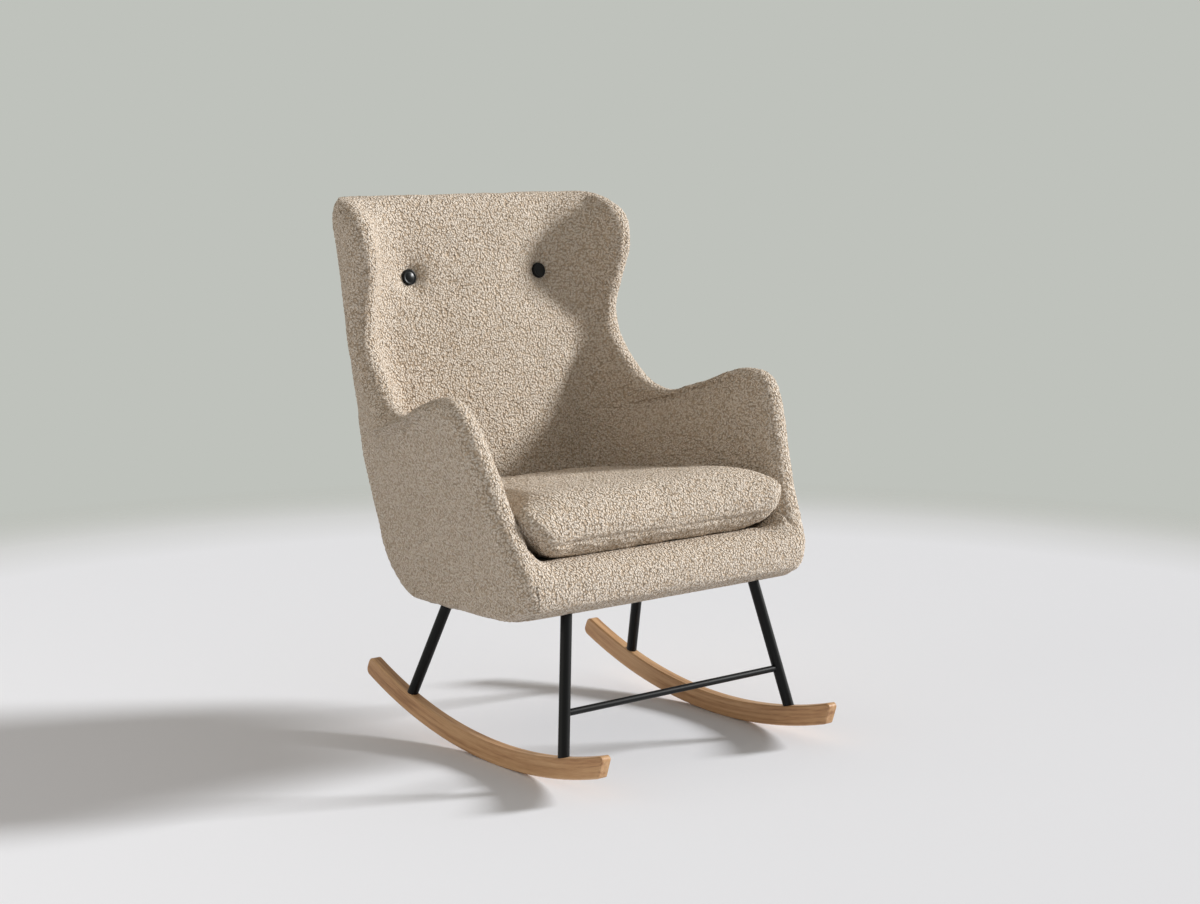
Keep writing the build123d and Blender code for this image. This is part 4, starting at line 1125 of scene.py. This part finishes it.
def mottled(
    name, dark, pale, scale, roughness, height, metallic=0.0, sheen=0.0, gloss=0.5, stretch=EVEN_STRETCH
):
    """A finish between two tones by a noise, which also moves the roughness and raises the surface."""
    finish, tree, shader, place = new_finish(name)
    cloud = noise(tree, work_out(tree, "VectorMath", "MULTIPLY", place, stretch), scale, 4.0)
    colour = ramp(tree, cloud, (NOISE_RANGE[0], linear(*dark)), (NOISE_RANGE[1], linear(*pale)))
    tree.links.new(colour, shader.inputs["Base Color"])
    rough = ranged(tree, cloud, NOISE_RANGE, (roughness - ROUGHNESS_SPREAD, roughness + ROUGHNESS_SPREAD))
    tree.links.new(rough, shader.inputs["Roughness"])
    shader.inputs["Metallic"].default_value = metallic
    shader.inputs["Sheen Weight"].default_value = sheen
    shader.inputs["Specular IOR Level"].default_value = gloss
    raised(tree, shader, cloud, height)
    return finish


def threads(tree, place, way, fineness):
    """Waves across one direction. A wave is about 0.31 m divided by the fineness."""
    sockets = {"Vector": place, "Scale": fineness, "Distortion": THREAD_WANDER}
    return add_node(tree, "ShaderNodeTexWave", {"bands_direction": way}, **sockets).outputs["Fac"]


def woven(name, dark, pale, fineness, height):
    """Plain weave: two sets of threads as waves across each other, with uneven dye."""
    finish, tree, shader, place = new_finish(name)
    warp = threads(tree, place, "X", fineness)
    weft = threads(tree, place, "Y", fineness)
    cloth = work_out(tree, "Math", "MULTIPLY", warp, weft)
    dye = noise(tree, place, DYE_DENSITY, 3.0)
    tone = work_out(tree, "Math", "MULTIPLY_ADD", dye, DYE_SHARE, cloth)
    colour = ramp(tree, tone, (0.25, linear(*dark)), (1.0, linear(*pale)))
    tree.links.new(colour, shader.inputs["Base Color"])
    shader.inputs["Roughness"].default_value = 0.9
    shader.inputs["Specular IOR Level"].default_value = 0.2
    raised(tree, shader, cloth, height)
    return finish


print("roughness wanders by", ROUGHNESS_SPREAD, "either way")

# %% [markdown]
# Each of the record's material slots gets its finish, and every solid with that slot wears it. The new
# pieces wear the same finishes as the solids that they stand for.

# %% Plain finishes
WOOD_STRETCH = (1.0, 1.0, 0.12)

plain = {
    "black_steel": mottled("powder_coat", (11, 11, 12), (18, 18, 19), 900.0, 0.38, 0.0001, gloss=0.2),
    "zinc_steel": mottled("zinc_plate", (150, 152, 155), (196, 198, 200), 240.0, 0.34, 0.00005, metallic=1.0),
    "frame_wood": mottled(
        "plain_hardwood", (186, 148, 104), (222, 190, 146), 60.0, 0.65, 0.0003, stretch=WOOD_STRETCH
    ),
    "button": mottled("button_black", (8, 8, 9), (16, 16, 17), 700.0, 0.36, 0.0001, gloss=0.25),
    "webbing": woven("elastic_webbing", (40, 38, 36), (92, 88, 82), 500.0, 0.0005),
    "deck_cloth": woven("deck_cotton", (150, 138, 122), (206, 194, 176), 420.0, 0.0004),
    "dust_cloth": mottled("dust_felt", (20, 20, 21), (44, 44, 45), 1400.0, 0.93, 0.0003, sheen=0.15),
    "twine": mottled("waxed_twine", (150, 128, 96), (200, 180, 146), 900.0, 0.7, 0.0003),
}
packed = {name: thing.data.materials[0].name.split(".")[0] for name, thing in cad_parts.items()}
for node, slot in packed.items():
    if slot in plain:
        put_on(plain[slot], node)
put_on(plain["button"], "left_button", "right_button")
put_on(plain["deck_cloth"], "seat_deck_cover")
put_on(plain["dust_cloth"], "dust_cover_cloth")
print("plain finishes", len(plain), "slots", sorted(set(packed.values())))

# %% [markdown]
# ## Floor
# The chair stands on a plain pale floor. A square of floor would end in a hard line behind the chair, so it
# is a wide disc whose rim turns grey and fades out into the surroundings.

# %% Floor
FLOOR_RADIUS = 2.9
FLOOR_SPOKES = 96
FLOOR_FADE = (0.82, 1.0)
FLOOR_PALE = linear(234, 236, 241)
WALL_GREY = linear(191, 194, 188)

angle = np.linspace(0.0, 2 * math.pi, FLOOR_SPOKES, endpoint=False)
disc = FLOOR_RADIUS * np.stack([np.cos(angle), np.sin(angle), np.zeros_like(angle)], axis=1)
floor_mesh = bpy.data.meshes.new("floor")
floor_mesh.from_pydata(disc.tolist(), [], [list(range(FLOOR_SPOKES))])
floor = new_object("floor", floor_mesh)
paint, tree, shader, place = new_finish("floor_paint")
outward = add_node(tree, "ShaderNodeVectorMath", {"operation": "LENGTH"}, Vector=place).outputs["Value"]
share = work_out(tree, "Math", "DIVIDE", outward, FLOOR_RADIUS)
tree.links.new(ramp(tree, share, (0.7, FLOOR_PALE), (1.0, WALL_GREY)), shader.inputs["Base Color"])
tree.links.new(ranged(tree, share, FLOOR_FADE, (1.0, 0.0)), shader.inputs["Alpha"])
shader.inputs["Roughness"].default_value = 0.9
shader.inputs["Specular IOR Level"].default_value = 0.1
put_on(paint, "floor")
print("floor radius", FLOOR_RADIUS)

# %% [markdown]
# ## Light
# The light comes from the right and rakes over the nubs. A strong lamp near the chair would burn a white spot
# into the floor, so the key is a sun lamp: it is even, and its width of some degrees makes shadows soft.
# A weaker warm lamp stands to the left and a little behind. It lights the side that is turned away from the
# sun, but not the hollow beside the wing, which keeps its shadow.

# %% Lamps
KEY_PLACE = np.array([2.75, -1.05, 1.70])
KEY_SPREAD = math.radians(11.0)
KEY_POWER = 4.3
FILL_PLACE = np.array([-3.0, 0.9, 1.3])
FILL_SIZE = 2.4
FILL_POWER = 15.0
FILL_TINT = (1.0, 0.93, 0.84)
AIM = np.array([0.0, 0.1, 0.5])


def aimed_lamp(name, kind, place, power):
    """A lamp of some kind that faces the chair: its own third axis points from the aim to its place."""
    lamp = bpy.data.lights.new(name, kind)
    lamp.energy = power
    thing = bpy.data.objects.new(name, lamp)
    away = (place - AIM) / np.linalg.norm(place - AIM)
    side = np.cross([0.0, 0.0, 1.0], away)
    side /= np.linalg.norm(side)
    turn = np.eye(4)
    turn[:3, :3] = np.stack([side, np.cross(away, side), away], axis=1)
    turn[:3, 3] = place
    thing.matrix_world = Matrix(turn.tolist())
    bpy.context.scene.collection.objects.link(thing)
    return lamp


key = aimed_lamp("key", "SUN", KEY_PLACE, KEY_POWER)
key.angle = KEY_SPREAD
fill = aimed_lamp("fill", "AREA", FILL_PLACE, FILL_POWER)
fill.size = FILL_SIZE
fill.color = FILL_TINT
print("lamps", key.type, fill.type)

# %% [markdown]
# A warm sky fills the shadows. It isn't what one sees behind the chair: the camera, gloss and glass get a
# plain grey instead, so the background's tone can be chosen apart from the light.

# %% Surroundings
SKY_STRENGTH = 0.38
SKY_TINT = (1.0, 0.95, 0.88, 1.0)

sky = bpy.data.worlds.new("sky")
bpy.context.scene.world = sky
sky.use_nodes = True
tree = sky.node_tree
ray = add_node(tree, "ShaderNodeLightPath").outputs
showing = work_out(tree, "Math", "MAXIMUM", ray["Is Camera Ray"], ray["Is Glossy Ray"])
showing = work_out(tree, "Math", "MAXIMUM", showing, ray["Is Transmission Ray"])
seen = add_node(tree, "ShaderNodeBackground", Color=WALL_GREY, Strength=1.0).outputs["Background"]
lit = tree.nodes["Background"]
lit.inputs["Color"].default_value = SKY_TINT
lit.inputs["Strength"].default_value = SKY_STRENGTH
mix = add_node(tree, "ShaderNodeMixShader", Fac=showing)
tree.links.new(lit.outputs["Background"], mix.inputs[1])
tree.links.new(seen, mix.inputs[2])
tree.links.new(mix.outputs["Shader"], tree.nodes["World Output"].inputs["Surface"])
bpy.context.scene.view_settings.view_transform = "Standard"
print("sky", SKY_STRENGTH)
